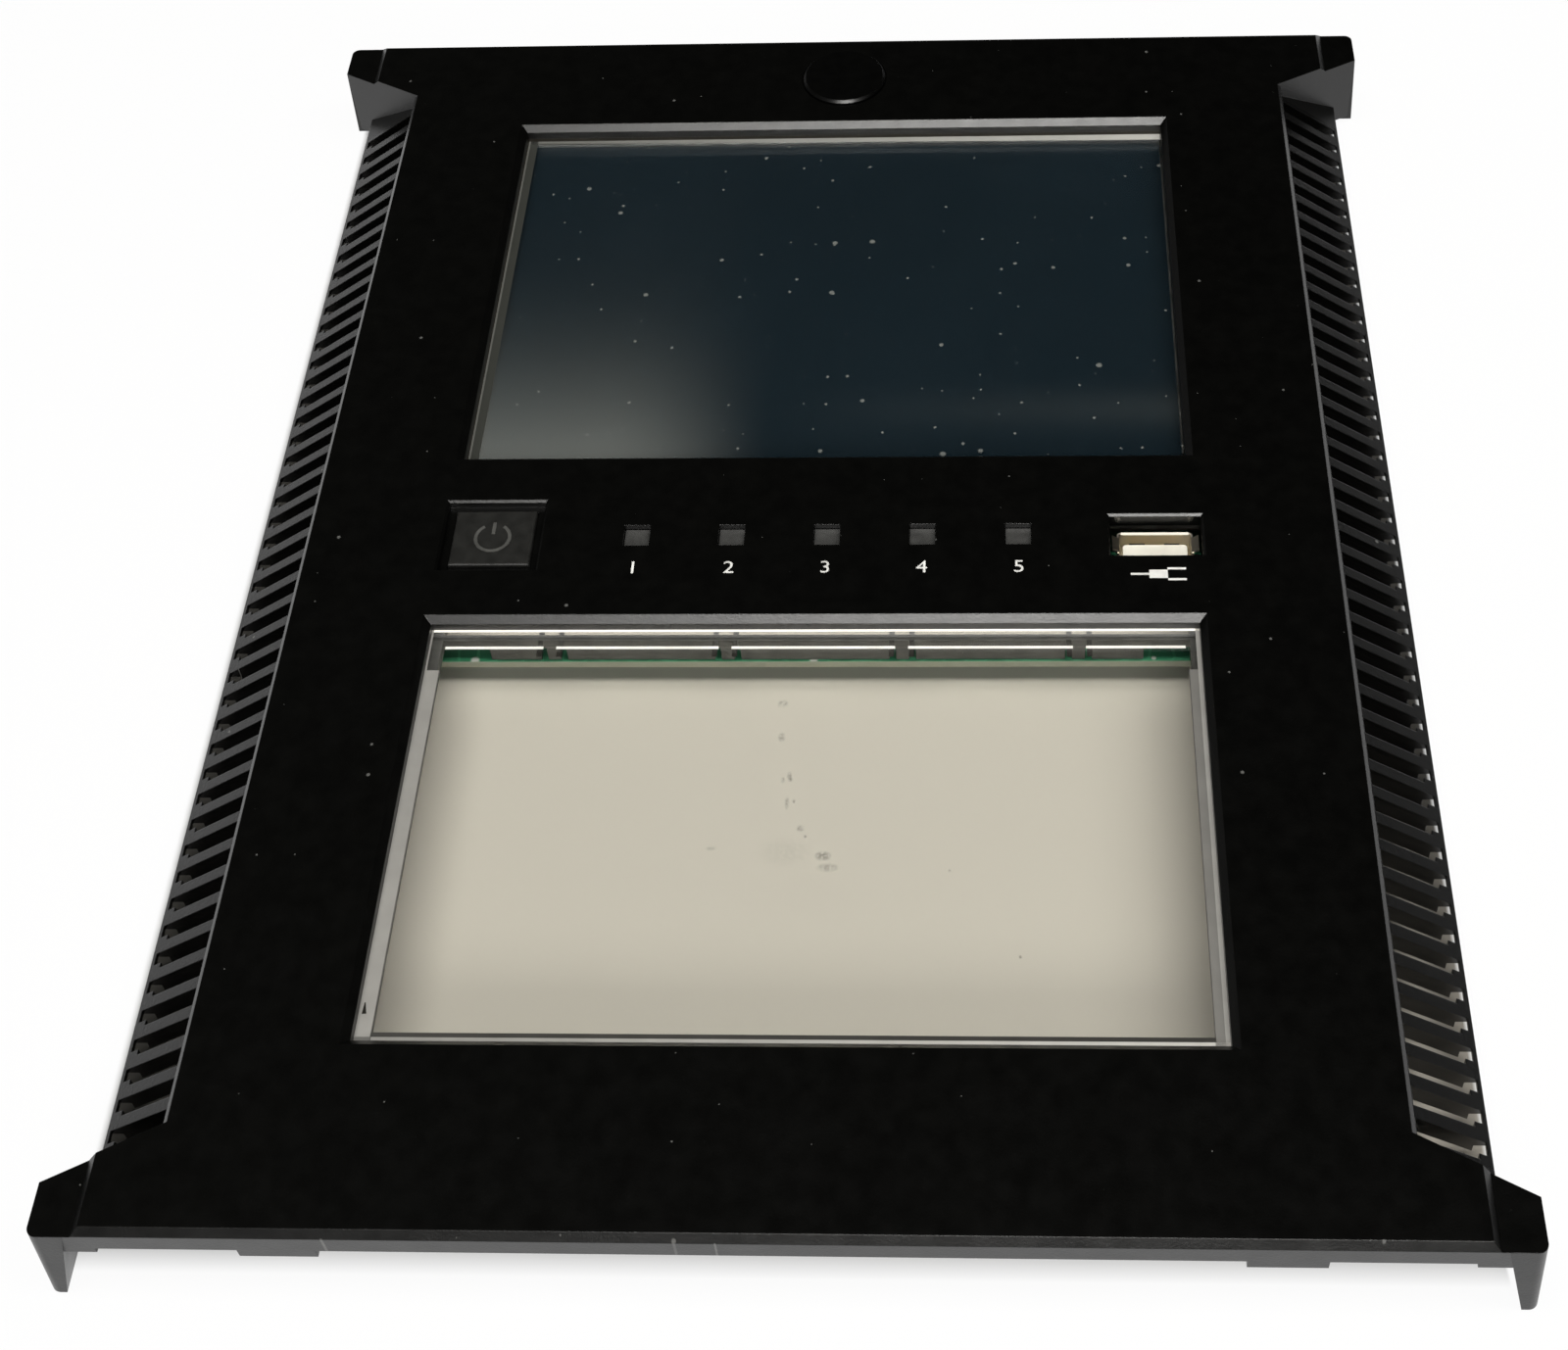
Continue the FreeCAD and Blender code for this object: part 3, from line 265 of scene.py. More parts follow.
@cache
def dust_specks() -> bpy.types.NodeTree:
    """Scattered specks of dust.

    The plan is divided into cells. A cell has a round speck if its random share is under Share, and the
    speck's radius is the cell's random number cubed times Radius, so that small ones are common.

    Returns:
        Group with Mask, 1 in the inner half of a speck and falling to 0 at its rim.
    """
    cubed, inner = 3.0, 0.5
    inputs = {"Spacing": 0.003, "Radius": 0.0003, "Share": 0.6}
    graph, given, result = new_effect("dust_specks", inputs, ("Mask",))
    scale = graph.math("DIVIDE", 1.0, given["Spacing"])
    cells = graph.node("TexVoronoi", voronoi_dimensions="2D")
    graph.fill(cells, {"Vector": graph.place(), "Scale": scale})
    draws = graph.fill(graph.node("SeparateColor"), {0: cells.outputs["Color"]}).outputs
    reach = graph.math("DIVIDE", given["Radius"], given["Spacing"])
    radius = graph.math("MULTIPLY", graph.math("POWER", draws[0], cubed), reach)
    rim = (radius, graph.math("MULTIPLY", radius, inner))
    speck = graph.spread(cells.outputs["Distance"], rim, UNIT)
    chosen = graph.math("LESS_THAN", draws[1], given["Share"])
    graph.feed(result["Mask"], graph.math("MULTIPLY", speck, chosen))
    return graph.tree


@cache
def cloud() -> bpy.types.NodeTree:
    """Soft cloudy variation: a noise of the given size, spread to the full range.

    Returns:
        Group with Value, from 0 to 1.
    """
    graph, given, result = new_effect("cloud", {"Size": 0.02}, ("Value",))
    noise = graph.noise(graph.math("DIVIDE", 1.0, given["Size"]))
    graph.feed(result["Value"], graph.spread(noise, (0.32, 0.68), UNIT))
    return graph.tree


def new_material(name: str) -> tuple[bpy.types.Material, Graph, bpy.types.Node]:
    """Material with one surface shader.

    Args:
        name: Name of the material.

    Returns:
        The material, its graph and its shader node.
    """
    material = bpy.data.materials.new(name)
    material.use_nodes = True
    return material, Graph(material.node_tree), material.node_tree.nodes["Principled BSDF"]


def tinted(colour: Colour, share: float) -> Colour:
    """A colour times a share."""
    return tuple(share * part for part in colour)


@dataclass(frozen=True)
class MouldedFinish:
    """Moulded plastic with fine grain, softened edges and a little dust.

    Attributes:
        name: Name of the finish.
        colour: Colour of the plastic.
        texture: Grain of its surface.
        roughness: Mean roughness.
        specular: Strength of the gloss.
        edge: Radius that edges are softened by, in metres.
        dust: Share of the dust cells that hold a speck.
        dust_colour: Colour of the specks.
        louvre: Roughness of the louvres, where the piece has them.
        tints: Shares of the colour in the darkest and lightest spots.
        sheen: How far the roughness varies from its mean.
    """

    name: str
    colour: Colour
    texture: Texture
    roughness: float
    specular: float = 0.5
    edge: float = 0.00018
    dust: float = 0.0
    dust_colour: Colour = (0.11, 0.11, 0.105)
    louvre: Optional[float] = None
    tints: Pair = (0.8, 1.25)
    sheen: Pair = (-0.02, 0.03)

    def build(self) -> bpy.types.Material:
        """Make the material.

        Returns:
            Material whose colour, roughness and normal vary with the grain.
        """
        material, graph, shader = new_material(self.name)
        size, depth = self.texture.value
        grain = graph.effect(mould_grain(), Size=size).outputs
        colour = graph.blend(grain["Shade"], *(tinted(self.colour, share) for share in self.tints))
        if self.dust:
            specks = graph.effect(dust_specks(), Spacing=0.007, Radius=0.0004, Share=self.dust)
            colour = graph.blend(specks.outputs["Mask"], colour, self.dust_colour)
        roughness = graph.spread(grain["Shade"], UNIT, [self.roughness + part for part in self.sheen])
        if self.louvre:
            roughness = graph.spread(self._louvres(graph), UNIT, (roughness, self.louvre))
        inputs = {"Base Color": colour, "Roughness": roughness, "Specular IOR Level": self.specular}
        graph.fill(shader, inputs)
        graph.feed(shader.inputs["Normal"], graph.relief(grain["Height"], depth, self.edge))
        return material

    @staticmethod
    def _louvres(graph: Graph) -> bpy.types.NodeSocket:
        """Mask of the louvres: what lies outside the face, under its level and between the horns.

        Args:
            graph: Graph of the material.

        Returns:
            Mask, 1 on the louvres.
        """
        axes = graph.axes(graph.place())
        outside = graph.math("GREATER_THAN", graph.math("ABSOLUTE", axes["X"]), LOUVRE_START)
        between = graph.math("LESS_THAN", graph.math("ABSOLUTE", axes["Y"]), LOUVRE_REACH)
        under = graph.math("LESS_THAN", axes["Z"], LOUVRE_LEVEL)
        return graph.math("MULTIPLY", outside, between, under)


@dataclass(frozen=True)
class MetalFinish:
    """Bare metal with cloudy tarnish and a fine grain.

    Attributes:
        name: Name of the finish.
        colour: Colour of the clean metal.
        roughness: Mean roughness.
        clouds: Size of the clouds, in metres; the grain is a tenth of it.
        tarnish: Share of the colour where the metal is darkest.
        sheen: How far the roughness varies from its mean.
        relief: Depth of the grain, in metres.
        edge: Radius that edges are softened by, in metres.
    """

    name: str
    colour: Colour
    roughness: float = 0.35
    clouds: float = 0.003
    tarnish: float = 0.72
    sheen: Pair = (-0.08, 0.12)
    relief: float = 0.000006
    edge: float = 0.0001

    def build(self) -> bpy.types.Material:
        """Make the material.

        Returns:
            Metal whose tint and roughness vary in clouds.
        """
        material, graph, shader = new_material(self.name)
        clouds = graph.effect(cloud(), Size=self.clouds).outputs[0]
        colour = graph.blend(clouds, tinted(self.colour, self.tarnish), self.colour)
        roughness = graph.spread(clouds, UNIT, [self.roughness + part for part in self.sheen])
        graph.fill(shader, {"Base Color": colour, "Metallic": 1.0, "Roughness": roughness})
        height = graph.effect(mould_grain(), Size=self.clouds / 10).outputs["Height"]
        graph.feed(shader.inputs["Normal"], graph.relief(height, self.relief, self.edge))
        return material


@dataclass(frozen=True)
class ClearFinish:
    """Clear glass or acrylic, with faint wiping marks in its gloss.

    Attributes:
        name: Name of the finish.
        colour: Tint of what is seen through it.
        roughness: Mean roughness.
        refraction: Index of refraction.
        clouds: Size of the wiping marks, in metres.
        sheen: Shares of the roughness where it is least and most.
    """

    name: str
    colour: Colour
    roughness: float
    refraction: float
    clouds: float = 0.03
    sheen: Pair = (0.6, 1.4)

    def build(self) -> bpy.types.Material:
        """Make the material.

        Returns:
            Clear material whose roughness varies in clouds.
        """
        material, graph, shader = new_material(self.name)
        clouds = graph.effect(cloud(), Size=self.clouds).outputs[0]
        roughness = graph.spread(clouds, UNIT, [self.roughness * share for share in self.sheen])
        inputs = {"Base Color": self.colour, "Roughness": roughness, "IOR": self.refraction}
        graph.fill(shader, {**inputs, "Transmission Weight": 1.0})
        return material


@dataclass(frozen=True)
class DisplayFinish:
    """Dark display behind the touch glass: navy with a faint cloud."""

    name: str = "display_dark"
    colour: Colour = (0.0051, 0.0118, 0.0166)
    roughness: float = 0.45
    specular: float = 0.2
    clouds: float = 0.04
    dim: float = 0.85

    def build(self) -> bpy.types.Material:
        """Make the material.

        Returns:
            Navy material whose colour varies in clouds.
        """
        material, graph, shader = new_material(self.name)
        clouds = graph.effect(cloud(), Size=self.clouds).outputs[0]
        colour = graph.blend(clouds, tinted(self.colour, self.dim), self.colour)
        inputs = {"Base Color": colour, "Roughness": self.roughness, "Specular IOR Level": self.specular}
        graph.fill(shader, inputs)
        return material


@dataclass(frozen=True)
class BoardFinish:
    """Green solder mask over copper tracks, with tinned dots and bare laminate at the cut edges."""

    name: str = "board_green"
    mask: Colour = (0.03, 0.17, 0.085)
    track: Colour = (0.055, 0.25, 0.13)
    tin: Colour = (0.5, 0.5, 0.46)
    laminate: Colour = (0.36, 0.38, 0.3)
    relief: float = 0.00003

    def build(self) -> bpy.types.Material:
        """Make the material.

        Tracks run along the borders of uneven cells, and dots are specks with a wide spacing. A face
        that stands upright is a cut edge.

        Returns:
            Glossy green material with tracks, dots and pale edges.
        """
        material, graph, shader = new_material(self.name)
        cells = graph.node("TexVoronoi", feature="DISTANCE_TO_EDGE")
        graph.fill(cells, {"Vector": graph.place(), "Scale": 260.0, "Randomness": 0.55})
        line = graph.spread(cells.outputs["Distance"], (0.05, 0.08), (1.0, 0.0))
        dots = graph.effect(dust_specks(), Spacing=0.0042, Radius=0.0011, Share=0.5)
        top = graph.blend(dots.outputs["Mask"], graph.blend(line, self.mask, self.track), self.tin)
        facing = graph.axes(graph.node("NewGeometry").outputs["Normal"])
        cut = graph.math("LESS_THAN", graph.math("ABSOLUTE", facing["Z"]), 0.5)
        colour = graph.blend(cut, top, self.laminate)
        roughness = graph.spread(line, UNIT, (0.32, 0.42))
        normal = graph.relief(line, self.relief)
        graph.fill(shader, {"Base Color": colour, "Roughness": roughness, "Normal": normal})
        return material


@dataclass(frozen=True)
class FilmFinish:
    """Dust with a painted reflection haze, or scuffs, that lie on a clear surface, see-through in between.

    Attributes:
        name: Name of the finish.
        pattern: What it shows.
        colour: Colour of the dust and painted haze, or of the scuffs.
        roughness: Its roughness.
        speck: How much a speck hides.
    """

    name: str
    pattern: Pattern
    colour: Colour
    roughness: float = 0.9
    speck: float = 0.25

    def build(self) -> bpy.types.Material:
        """Make the material.

        Returns:
            Material whose alpha is the mask of its pattern.
        """
        material, graph, shader = new_material(self.name)
        mask = self._dust(graph) if self.pattern is Pattern.DUST else self._scuffs(graph)
        inputs = {"Base Color": self.colour, "Roughness": self.roughness, "Alpha": mask}
        graph.fill(shader, {**inputs, "Specular IOR Level": 0.0})
        return material

    def _dust(self, graph: Graph) -> bpy.types.NodeSocket:
        """Specks of two sizes, over a painted reflection haze that the tone attribute gives.

        Args:
            graph: Graph of the material.

        Returns:
            Mask, the larger of the specks and the painted haze.
        """
        small = graph.effect(dust_specks(), Spacing=0.0036, Radius=0.0004, Share=0.4)
        large = graph.effect(dust_specks(), Spacing=0.0072, Radius=0.0007, Share=0.7)
        both = graph.math("MAXIMUM", small.outputs["Mask"], large.outputs["Mask"])
        return graph.math("MAXIMUM", graph.math("MULTIPLY", both, self.speck), graph.tone())

    def _scuffs(self, graph: Graph) -> bpy.types.NodeSocket:
        """Broken smudges: the tone attribute times a fine noise that is cut off where it is low."""
        broken = graph.spread(graph.noise(2200.0), (0.36, 0.56), (0.2, 1.0))
        return graph.math("MULTIPLY", broken, graph.tone())


@dataclass(frozen=True)
class EdgeFinish:
    """Thin strips between a dark and a pale colour, pale where the tone attribute is high; on the clear
    plates the tone paints highlights and shade along the edges.

    Attributes:
        name: Name of the finish.
        dark: Colour at a tone of 0.
        pale: Colour at a tone of 1.
        glow: Strength of the emission in the strip's own colour, a painted glow that stands in for light on
            the edge.
        grain: Size of its unevenness, in metres.
    """

    name: str
    dark: Colour
    pale: Colour
    glow: float = 0.0
    grain: float = 0.0006

    def build(self) -> bpy.types.Material:
        """Make the material.

        Returns:
            Satin material between the two colours, with a faint grain.
        """
        material, graph, shader = new_material(self.name)
        shade = graph.effect(mould_grain(), Size=self.grain).outputs["Shade"]
        share = graph.math("MULTIPLY", graph.tone(), graph.spread(shade, UNIT, (0.86, 1.0)))
        colour = graph.blend(share, self.dark, self.pale)
        roughness = graph.spread(shade, UNIT, (0.35, 0.5))
        # Emission in the strip's own colour: a painted glow.
        inputs = {"Base Color": colour, "Emission Color": colour, "Roughness": roughness}
        graph.fill(shader, {**inputs, "Emission Strength": self.glow})
        return material


Finish = MouldedFinish | MetalFinish | ClearFinish | DisplayFinish | BoardFinish


def dress(finish: Finish, *nodes: str) -> None:
    """Give nodes of the frame a finish.

    Args:
        finish: Finish for all their slots. Light passes through a clear one to what is behind.
        nodes: Names of the nodes.
    """
    material = finish.build()
    clear = isinstance(finish, ClearFinish)
    for node in nodes:
        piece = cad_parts[node]
        if not piece.material_slots:
            piece.data.materials.append(material)
        for slot in piece.material_slots:
            slot.material = material
        piece.visible_shadow = not clear
        piece.visible_diffuse = not clear


def new_piece(
    name: str, points: np.ndarray, faces: np.ndarray, material: bpy.types.Material, body: Body
) -> bpy.types.Object:
    """Mesh object that rides on a body.

    Args:
        name: Name of the piece.
        points: Points, one row of X, Y and Z each.
        faces: Corner numbers, one row for each face.
        material: Finish of the piece.
        body: Body that carries it.

    Returns:
        The new object.
    """
    mesh = bpy.data.meshes.new(name)
    mesh.from_pydata(points.tolist(), [], faces.tolist())
    mesh.materials.append(material)
    mesh.update()
    piece = bpy.data.objects.new(name, mesh)
    bpy.context.scene.collection.objects.link(piece)
    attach(piece, body.value)
    log.info("%s: %d faces on %s", name, len(faces), body.value)
    return piece


def set_tone(piece: bpy.types.Object, tone: np.ndarray) -> None:
    """Store the tone of each point, which a finish reads."""
    stored = piece.data.attributes.new(TONE, "FLOAT", "POINT")
    stored.data.foreach_set("value", tone.astype(np.float32))


def grid_faces(rows: int, columns: int, around: bool = False) -> np.ndarray:
    """Quads between the neighbours of a grid of points.

    Args:
        rows: Number of rows.
        columns: Number of columns.
        around: Whether the last column joins the first.

    Returns:
        Corner numbers, one row of four for each quad.
    """
    across = columns if around else columns - 1
    row, column = np.meshgrid(np.arange(rows - 1), np.arange(across), indexing="ij")
    start, stop = row * columns, (row + 1) * columns
    after = (column + 1) % columns
    corners = [start + column, start + after, stop + after, stop + column]
    return np.stack(corners, axis=-1).reshape(-1, 4)


def ribbon(right: np.ndarray, left: np.ndarray, level: float, thickness: float) -> Mesh:
    """Flat closed strip between two borders in plan.

    Args:
        right: Points of the border on the right of the strip's direction, one row of X and Y each.
        left: Points of the other border.
        level: Level of its underside.
        thickness: Its thickness.

    Returns:
        Points, four at each place along the strip, and quads.
    """
    count = len(right)
    sides = np.stack([right, right, left, left], axis=1)
    levels = np.broadcast_to([level, level + thickness, level + thickness, level], (count, SECTION))
    points = np.concatenate([sides, levels[..., None]], axis=2).reshape(-1, 3)
    caps = np.array([range(SECTION), range(SECTION * count - 1, SECTION * count - 1 - SECTION, -1)])
    return points, np.concatenate([grid_faces(count, SECTION, around=True), caps])


def stroke(path: np.ndarray, width: float | Sequence[float], level: float, thickness: float) -> Mesh:
    """Flat closed strip along a path in plan.

    The strip's section is a rectangle of the given width and thickness. At each point it stands across the
    mean direction of the path there, found from the differences of neighbouring points.

    Args:
        path: Points in plan, one row of X and Y each.
        width: Width of the strip, one for all or one for each point.
        level: Level of its underside.
        thickness: Its thickness.

    Returns:
        Points and quads of the closed strip.
    """
    along = np.gradient(path, axis=0)
    along /= np.linalg.norm(along, axis=1, keepdims=True)
    half = np.broadcast_to(np.asarray(width) / 2, len(path))[:, None]
    across = np.stack([along[:, 1], -along[:, 0]], axis=1) * half
    return ribbon(path + across, path - across, level, thickness)


def merged(parts: Sequence[Mesh]) -> Mesh:
    """Several meshes as one.

    Args:
        parts: Points and quads of each mesh.

    Returns:
        All points and all quads, renumbered.
    """
    starts = np.cumsum([0] + [len(points) for points, _ in parts[:-1]])
    points = np.concatenate([points for points, _ in parts])
    return points, np.concatenate([faces + start for (_, faces), start in zip(parts, starts)])


def upright(x: float, start: float, stop: float) -> np.ndarray:
    """Two ends of a line in plan along Y."""
    return np.array([[x, start], [x, stop]])


def level_line(y: float, start: float, stop: float) -> np.ndarray:
    """Two ends of a line in plan along X."""
    return np.array([[start, y], [stop, y]])


def arc(middle: np.ndarray, radius: float, start: float, stop: float, count: int) -> np.ndarray:
    """Points in plan on an arc, from one angle to another in degrees from +X."""
    turn = np.radians(np.linspace(start, stop, count))
    return middle + radius * np.stack([np.cos(turn), np.sin(turn)], axis=1)


def middle_of(node: str) -> np.ndarray:
    """Middle of a node in plan."""
    low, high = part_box(node)
    return np.array([(low.x + high.x) / 2, (low.y + high.y) / 2])


@dataclass
class Trim:
    """Thin strips that make one piece, each with a tone that runs from end to end."""

    strips: list[Mesh] = field(default_factory=list)
    tones: list[np.ndarray] = field(default_factory=list)

    def add(self, strip: Mesh, tone: Pair) -> None:
        """Add a strip, with its tone at both ends."""
        self.strips.append(strip)
        self.tones.append(np.repeat(np.linspace(*tone, len(strip[0]) // SECTION), SECTION))

    def line(
        self, path: np.ndarray, width: float | Sequence[float], level: float, tone: Pair, layers: int = 1
    ) -> None:
        """Add a strip along a path, as thick as its number of layers."""
        self.add(stroke(path, width, level, layers * EDGE_THICKNESS), tone)

    def lay(self, name: str, finish: EdgeFinish) -> None:
        """Join the strips into one piece of the bezel."""
        piece = new_piece(name, *merged(self.strips), finish.build(), Body.BEZEL)
        set_tone(piece, np.concatenate(self.tones))


class SubAssembly:
    """A group of nodes that are dressed together, with the new pieces on them."""

    def dress(self) -> None:
        """Give the nodes their finishes."""

    def build(self) -> None:
        """Add the new pieces, if there are any."""


@dataclass
class Moulding(SubAssembly):
    """Black bezel and its badge, with the print on the face.

    Attributes:
        numeral_height: Height of the printed numerals.
        numeral_stretch: How much wider they are than the font's.
        print_middle: Y of the middle of the printed row.
        sign_drop: How far the sign under the port lies below that.
        sign_width: Width of the sign.
        sign_line: Width of the sign's lines.
    """

    numeral_height: float = 0.0026
    numeral_stretch: float = 1.1
    print_middle: float = -0.0121
    sign_drop: float = 0.0018
    sign_width: float = 0.0094
    sign_line: float = 0.00045

    def dress(self) -> None:
        """Finish the bezel and the badge."""
        black = (0.0014, 0.0014, 0.0012)
        plastic = MouldedFinish("bezel_plastic", black, Texture.FACE, 0.32, dust=0.3, louvre=0.26)
        dress(plastic, "front_bezel")
        dress(MouldedFinish("badge_plastic", (0.001, 0.001, 0.0009), Texture.BADGE, 0.32), "badge_disc")

    def build(self) -> None:
        """Print the numerals under the lamps and the sign under the port."""
        white = (0.78, 0.78, 0.75)
        ink = MouldedFinish("white_print", white, Texture.PRINT, 0.55, specular=0.3, edge=0.00001).build()
        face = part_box("front_bezel")[1].z
        for number in range(1, LAMPS + 1):
            self._numeral(number, middle_of(f"status_lens_{number}")[0], face, ink)
        self._sign(face, ink)

    def _numeral(self, number: int, x: float, level: float, ink: bpy.types.Material) -> None:
        """Print one numeral.

        Args:
            number: The numeral.
            x: X of its middle.
            level: Level of the face.
            ink: Finish of the print.
        """
        curve = bpy.data.curves.new(f"numeral_{number}", "FONT")
        curve.body = str(number)
        curve.align_x = "CENTER"
        curve.align_y = "CENTER"
        curve.extrude = 0.5
        text = bpy.data.objects.new(f"numeral_{number}", curve)
        bpy.context.scene.collection.objects.link(text)
        bpy.context.view_layer.update()
        mesh = bpy.data.meshes.new_from_object(text.evaluated_get(bpy.context.evaluated_depsgraph_get()))
        bpy.data.objects.remove(text)
        points = np.empty(len(mesh.vertices) * 3)
        mesh.vertices.foreach_get("co", points)
        points = points.reshape(-1, 3)
        size = self.numeral_height / np.ptp(points[:, 1])
        middle = (points.max(axis=0) + points.min(axis=0)) / 2
        shape = (points - middle) * [size * self.numeral_stretch, size, PRINT_THICKNESS]
        shape += [x, self.print_middle, level + PRINT_THICKNESS / 2]
        mesh.vertices.foreach_set("co", shape.ravel())
        mesh.update()
        mesh.materials.clear()
        mesh.materials.append(ink)
        piece = bpy.data.objects.new(f"lamp_numeral_{number}", mesh)
        bpy.context.scene.collection.objects.link(piece)
        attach(piece, Body.BEZEL.value)
        log.info("%s: printed numeral", piece.name)

    def _sign(self, level: float, ink: bpy.types.Material) -> None:
        """Print a plain plug sign: a lead, a plug body four lines wide and two blades, as strips.

        Args:
            level: Level of the face.
            ink: Finish of the print.
        """
        middle = np.array([middle_of("port_shell")[0], self.print_middle - self.sign_drop])
        half = self.sign_width / 2
        body, blade = half / 3, half / 4
        lines = ((0, -half, -body, 1), (0, -body, body, 4), (blade, body, half, 1), (-blade, body, half, 1))
        strips = [
            stroke(level_line(y, start, stop) + middle, lines_wide * self.sign_line, level, PRINT_THICKNESS)
            for y, start, stop, lines_wide in lines
        ]
        new_piece("port_sign", *merged(strips), ink, Body.BEZEL)


@dataclass
class PowerButton(SubAssembly):
    """Power button with its printed symbol, and the switch behind it.

    Attributes:
        symbol_radius: Radius of the symbol's ring, at the middle of its line.
        symbol_line: Width of the line.
        symbol_bar: Ends of the bar, as shares of the radius over the middle.
        gap: Half the opening of the ring at its top, in degrees.
        ring_points: Number of points along the ring.
    """

    symbol_radius: float = 0.003
    symbol_line: float = 0.0006
    symbol_bar: Pair = (0.25, 1.15)
    gap: float = 34.0
    ring_points: int = 65

    def dress(self) -> None:
        """Finish the button and the switch."""
        cap = MouldedFinish("button_plastic", (0.017, 0.017, 0.0158), Texture.SATIN, 0.42, specular=0.4)
        dress(cap, "power_button")
        case = MouldedFinish("switch_plastic", (0.012, 0.012, 0.012), Texture.FINE, 0.4)
        dress(case, "switch_housing")
        plunger = MouldedFinish("plunger_plastic", (0.45, 0.42, 0.36), Texture.FINE, 0.45)
        dress(plunger, "switch_plunger")

    def build(self) -> None:
        """Print the ring and bar of the power symbol on the cap."""
        grey = (0.075, 0.075, 0.07)
        ink = MouldedFinish("grey_print", grey, Texture.PRINT, 0.5, specular=0.3, edge=0.00001).build()
        middle = middle_of("power_button")
        ring = arc(middle, self.symbol_radius, 90 + self.gap, 450 - self.gap, self.ring_points)
        bar = middle + upright(0, *self.symbol_bar) * self.symbol_radius
        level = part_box("power_button")[1].z
        strips = [stroke(path, self.symbol_line, level, PRINT_THICKNESS) for path in (ring, bar)]
        new_piece("power_symbol", *merged(strips), ink, Body.BUTTON)


@dataclass
class Display(SubAssembly):
    """Display stack: foam frame, touch glass, display, sheet can and bracket.

    Attributes:
        foam_width: Width of the foam frame's bars.
        film_grid: Columns and rows of the film of dust and painted reflection.
        smear: Strength of the painted reflection, a haze at the lower left.
        smear_rise: Distance from the bottom where the haze is down to about a third.
        smear_power: Power of the height in the haze's fall.
        smear_fade: X where the haze starts to fade, and where it ends.
        streak: Strength of the faint band of painted reflection at the lower right.
        streak_place: Distance of that band from the bottom, and half its width.
        top_edge: Width of the painted highlight on the glass edge along the top, at its left and right end.
        side_edge: Width of the painted reflection of the dark wall along the left side.
        side_line: Width of the painted highlight line beside it.
        tones: Tones of these three at both ends; the top highlight brightens to the right.
    """

    foam_width: float = 0.0047
    film_grid: tuple[int, int] = (61, 49)
    smear: float = 0.2
    smear_rise: float = 0.0205
    smear_power: float = 1.35
    smear_fade: Pair = (-0.042, -0.009)
    streak: float = 0.022
    streak_place: Pair = (0.0136, 0.0045)
    top_edge: Pair = (0.0008, 0.0017)
    side_edge: float = 0.0019
    side_line: float = 0.00035
    tones: tuple[Pair, Pair, Pair] = ((0.2, 0.88), (0.02, 0.02), (0.2, 0.2))

    def dress(self) -> None:
        """Finish the stack."""
        foam = MouldedFinish("gasket_foam", (0.035, 0.031, 0.024), Texture.FOAM, 0.85, specular=0.2)
        dress(foam, "screen_gasket")
        dress(ClearFinish("touch_glass", (0.93, 0.96, 0.97), 0.09, 1.5), "touch_panel")
        dress(DisplayFinish(), "display_cell")
        steel = MetalFinish("bracket_steel", (0.55, 0.54, 0.51), 0.38, 0.004)
        dress(steel, "display_frame", "screen_bracket")

    def build(self) -> None:
        """Lay the film of dust and painted reflection, and the painted highlights and reflection along the
        glass edges, within the screen opening.
        """
        low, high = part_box("screen_gasket")
        left, right = low.x + self.foam_width, high.x - self.foam_width
        bottom, top = low.y + self.foam_width, high.y - self.foam_width
        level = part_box("touch_panel")[1].z
        columns, rows = self.film_grid
        self._dust(np.linspace(left, right, columns), np.linspace(bottom, top, rows), level + FILM_LIFT)
        near, far = self.top_edge
        over, side, line = self.tones
        # Painted light along the glass edges: a highlight along the top, brighter to the right, a dark
        # painted reflection of the wall along the left side and a highlight line beside it.
        trim = Trim()
        trim.line(np.array([[left, top - near / 2], [right, top - far / 2]]), self.top_edge, level, over)
        trim.line(upright(left + self.side_edge / 2, bottom, top), self.side_edge, level, side)
        trim.line(upright(left + self.side_line / 2, bottom, top), self.side_line, level, line, layers=2)
        trim.lay("glass_painted_edges", EdgeFinish("glass_painted_edge", (0.018, 0.019, 0.016), (0.36, 0.355, 0.325), 0.6))

    def _dust(self, x: np.ndarray, y: np.ndarray, level: float) -> None:
        """Lay the film of dust and painted reflection, a flat grid.

        Its tone is a painted reflection: a haze at the lower left and a faint band at the lower right. The
        haze falls with the height over the bottom, as an exponential of its share of the rise to a power, and
        smoothly to nothing across its fade. The band is a bell curve of the height, and its strength rises
        from nothing near the middle to full at the right.

        Args:
            x: Columns of the grid.
            y: Rows of the grid.
            level: Level of the film.
        """
        columns, rows = np.meshgrid(x, y)
        points = np.stack([columns, rows, np.full_like(columns, level)], axis=-1).reshape(-1, 3)
        # The film's specks are dust; its tone is a painted reflection, a haze at the lower left and a faint
        # band at the lower right.
        film = FilmFinish("screen_dust_and_painted_haze", Pattern.DUST, (0.58, 0.6, 0.55)).build()
        piece = new_piece("screen_dust_and_painted_haze", points, grid_faces(len(y), len(x)), film, Body.BEZEL)
        height = rows - y[0]
        start, stop = self.smear_fade
        fade = np.clip((stop - columns) / (stop - start), 0, 1)
        fall = np.exp(-((height / self.smear_rise) ** self.smear_power))
        smear = self.smear * fade * fade * (3 - 2 * fade) * fall
        place, half = self.streak_place
        reach = np.clip((columns - stop) / (x[-1] - stop), 0, 1)
        streak = self.streak * reach * np.exp(-(((height - place) / half) ** 2))
        set_tone(piece, (smear + streak).ravel())


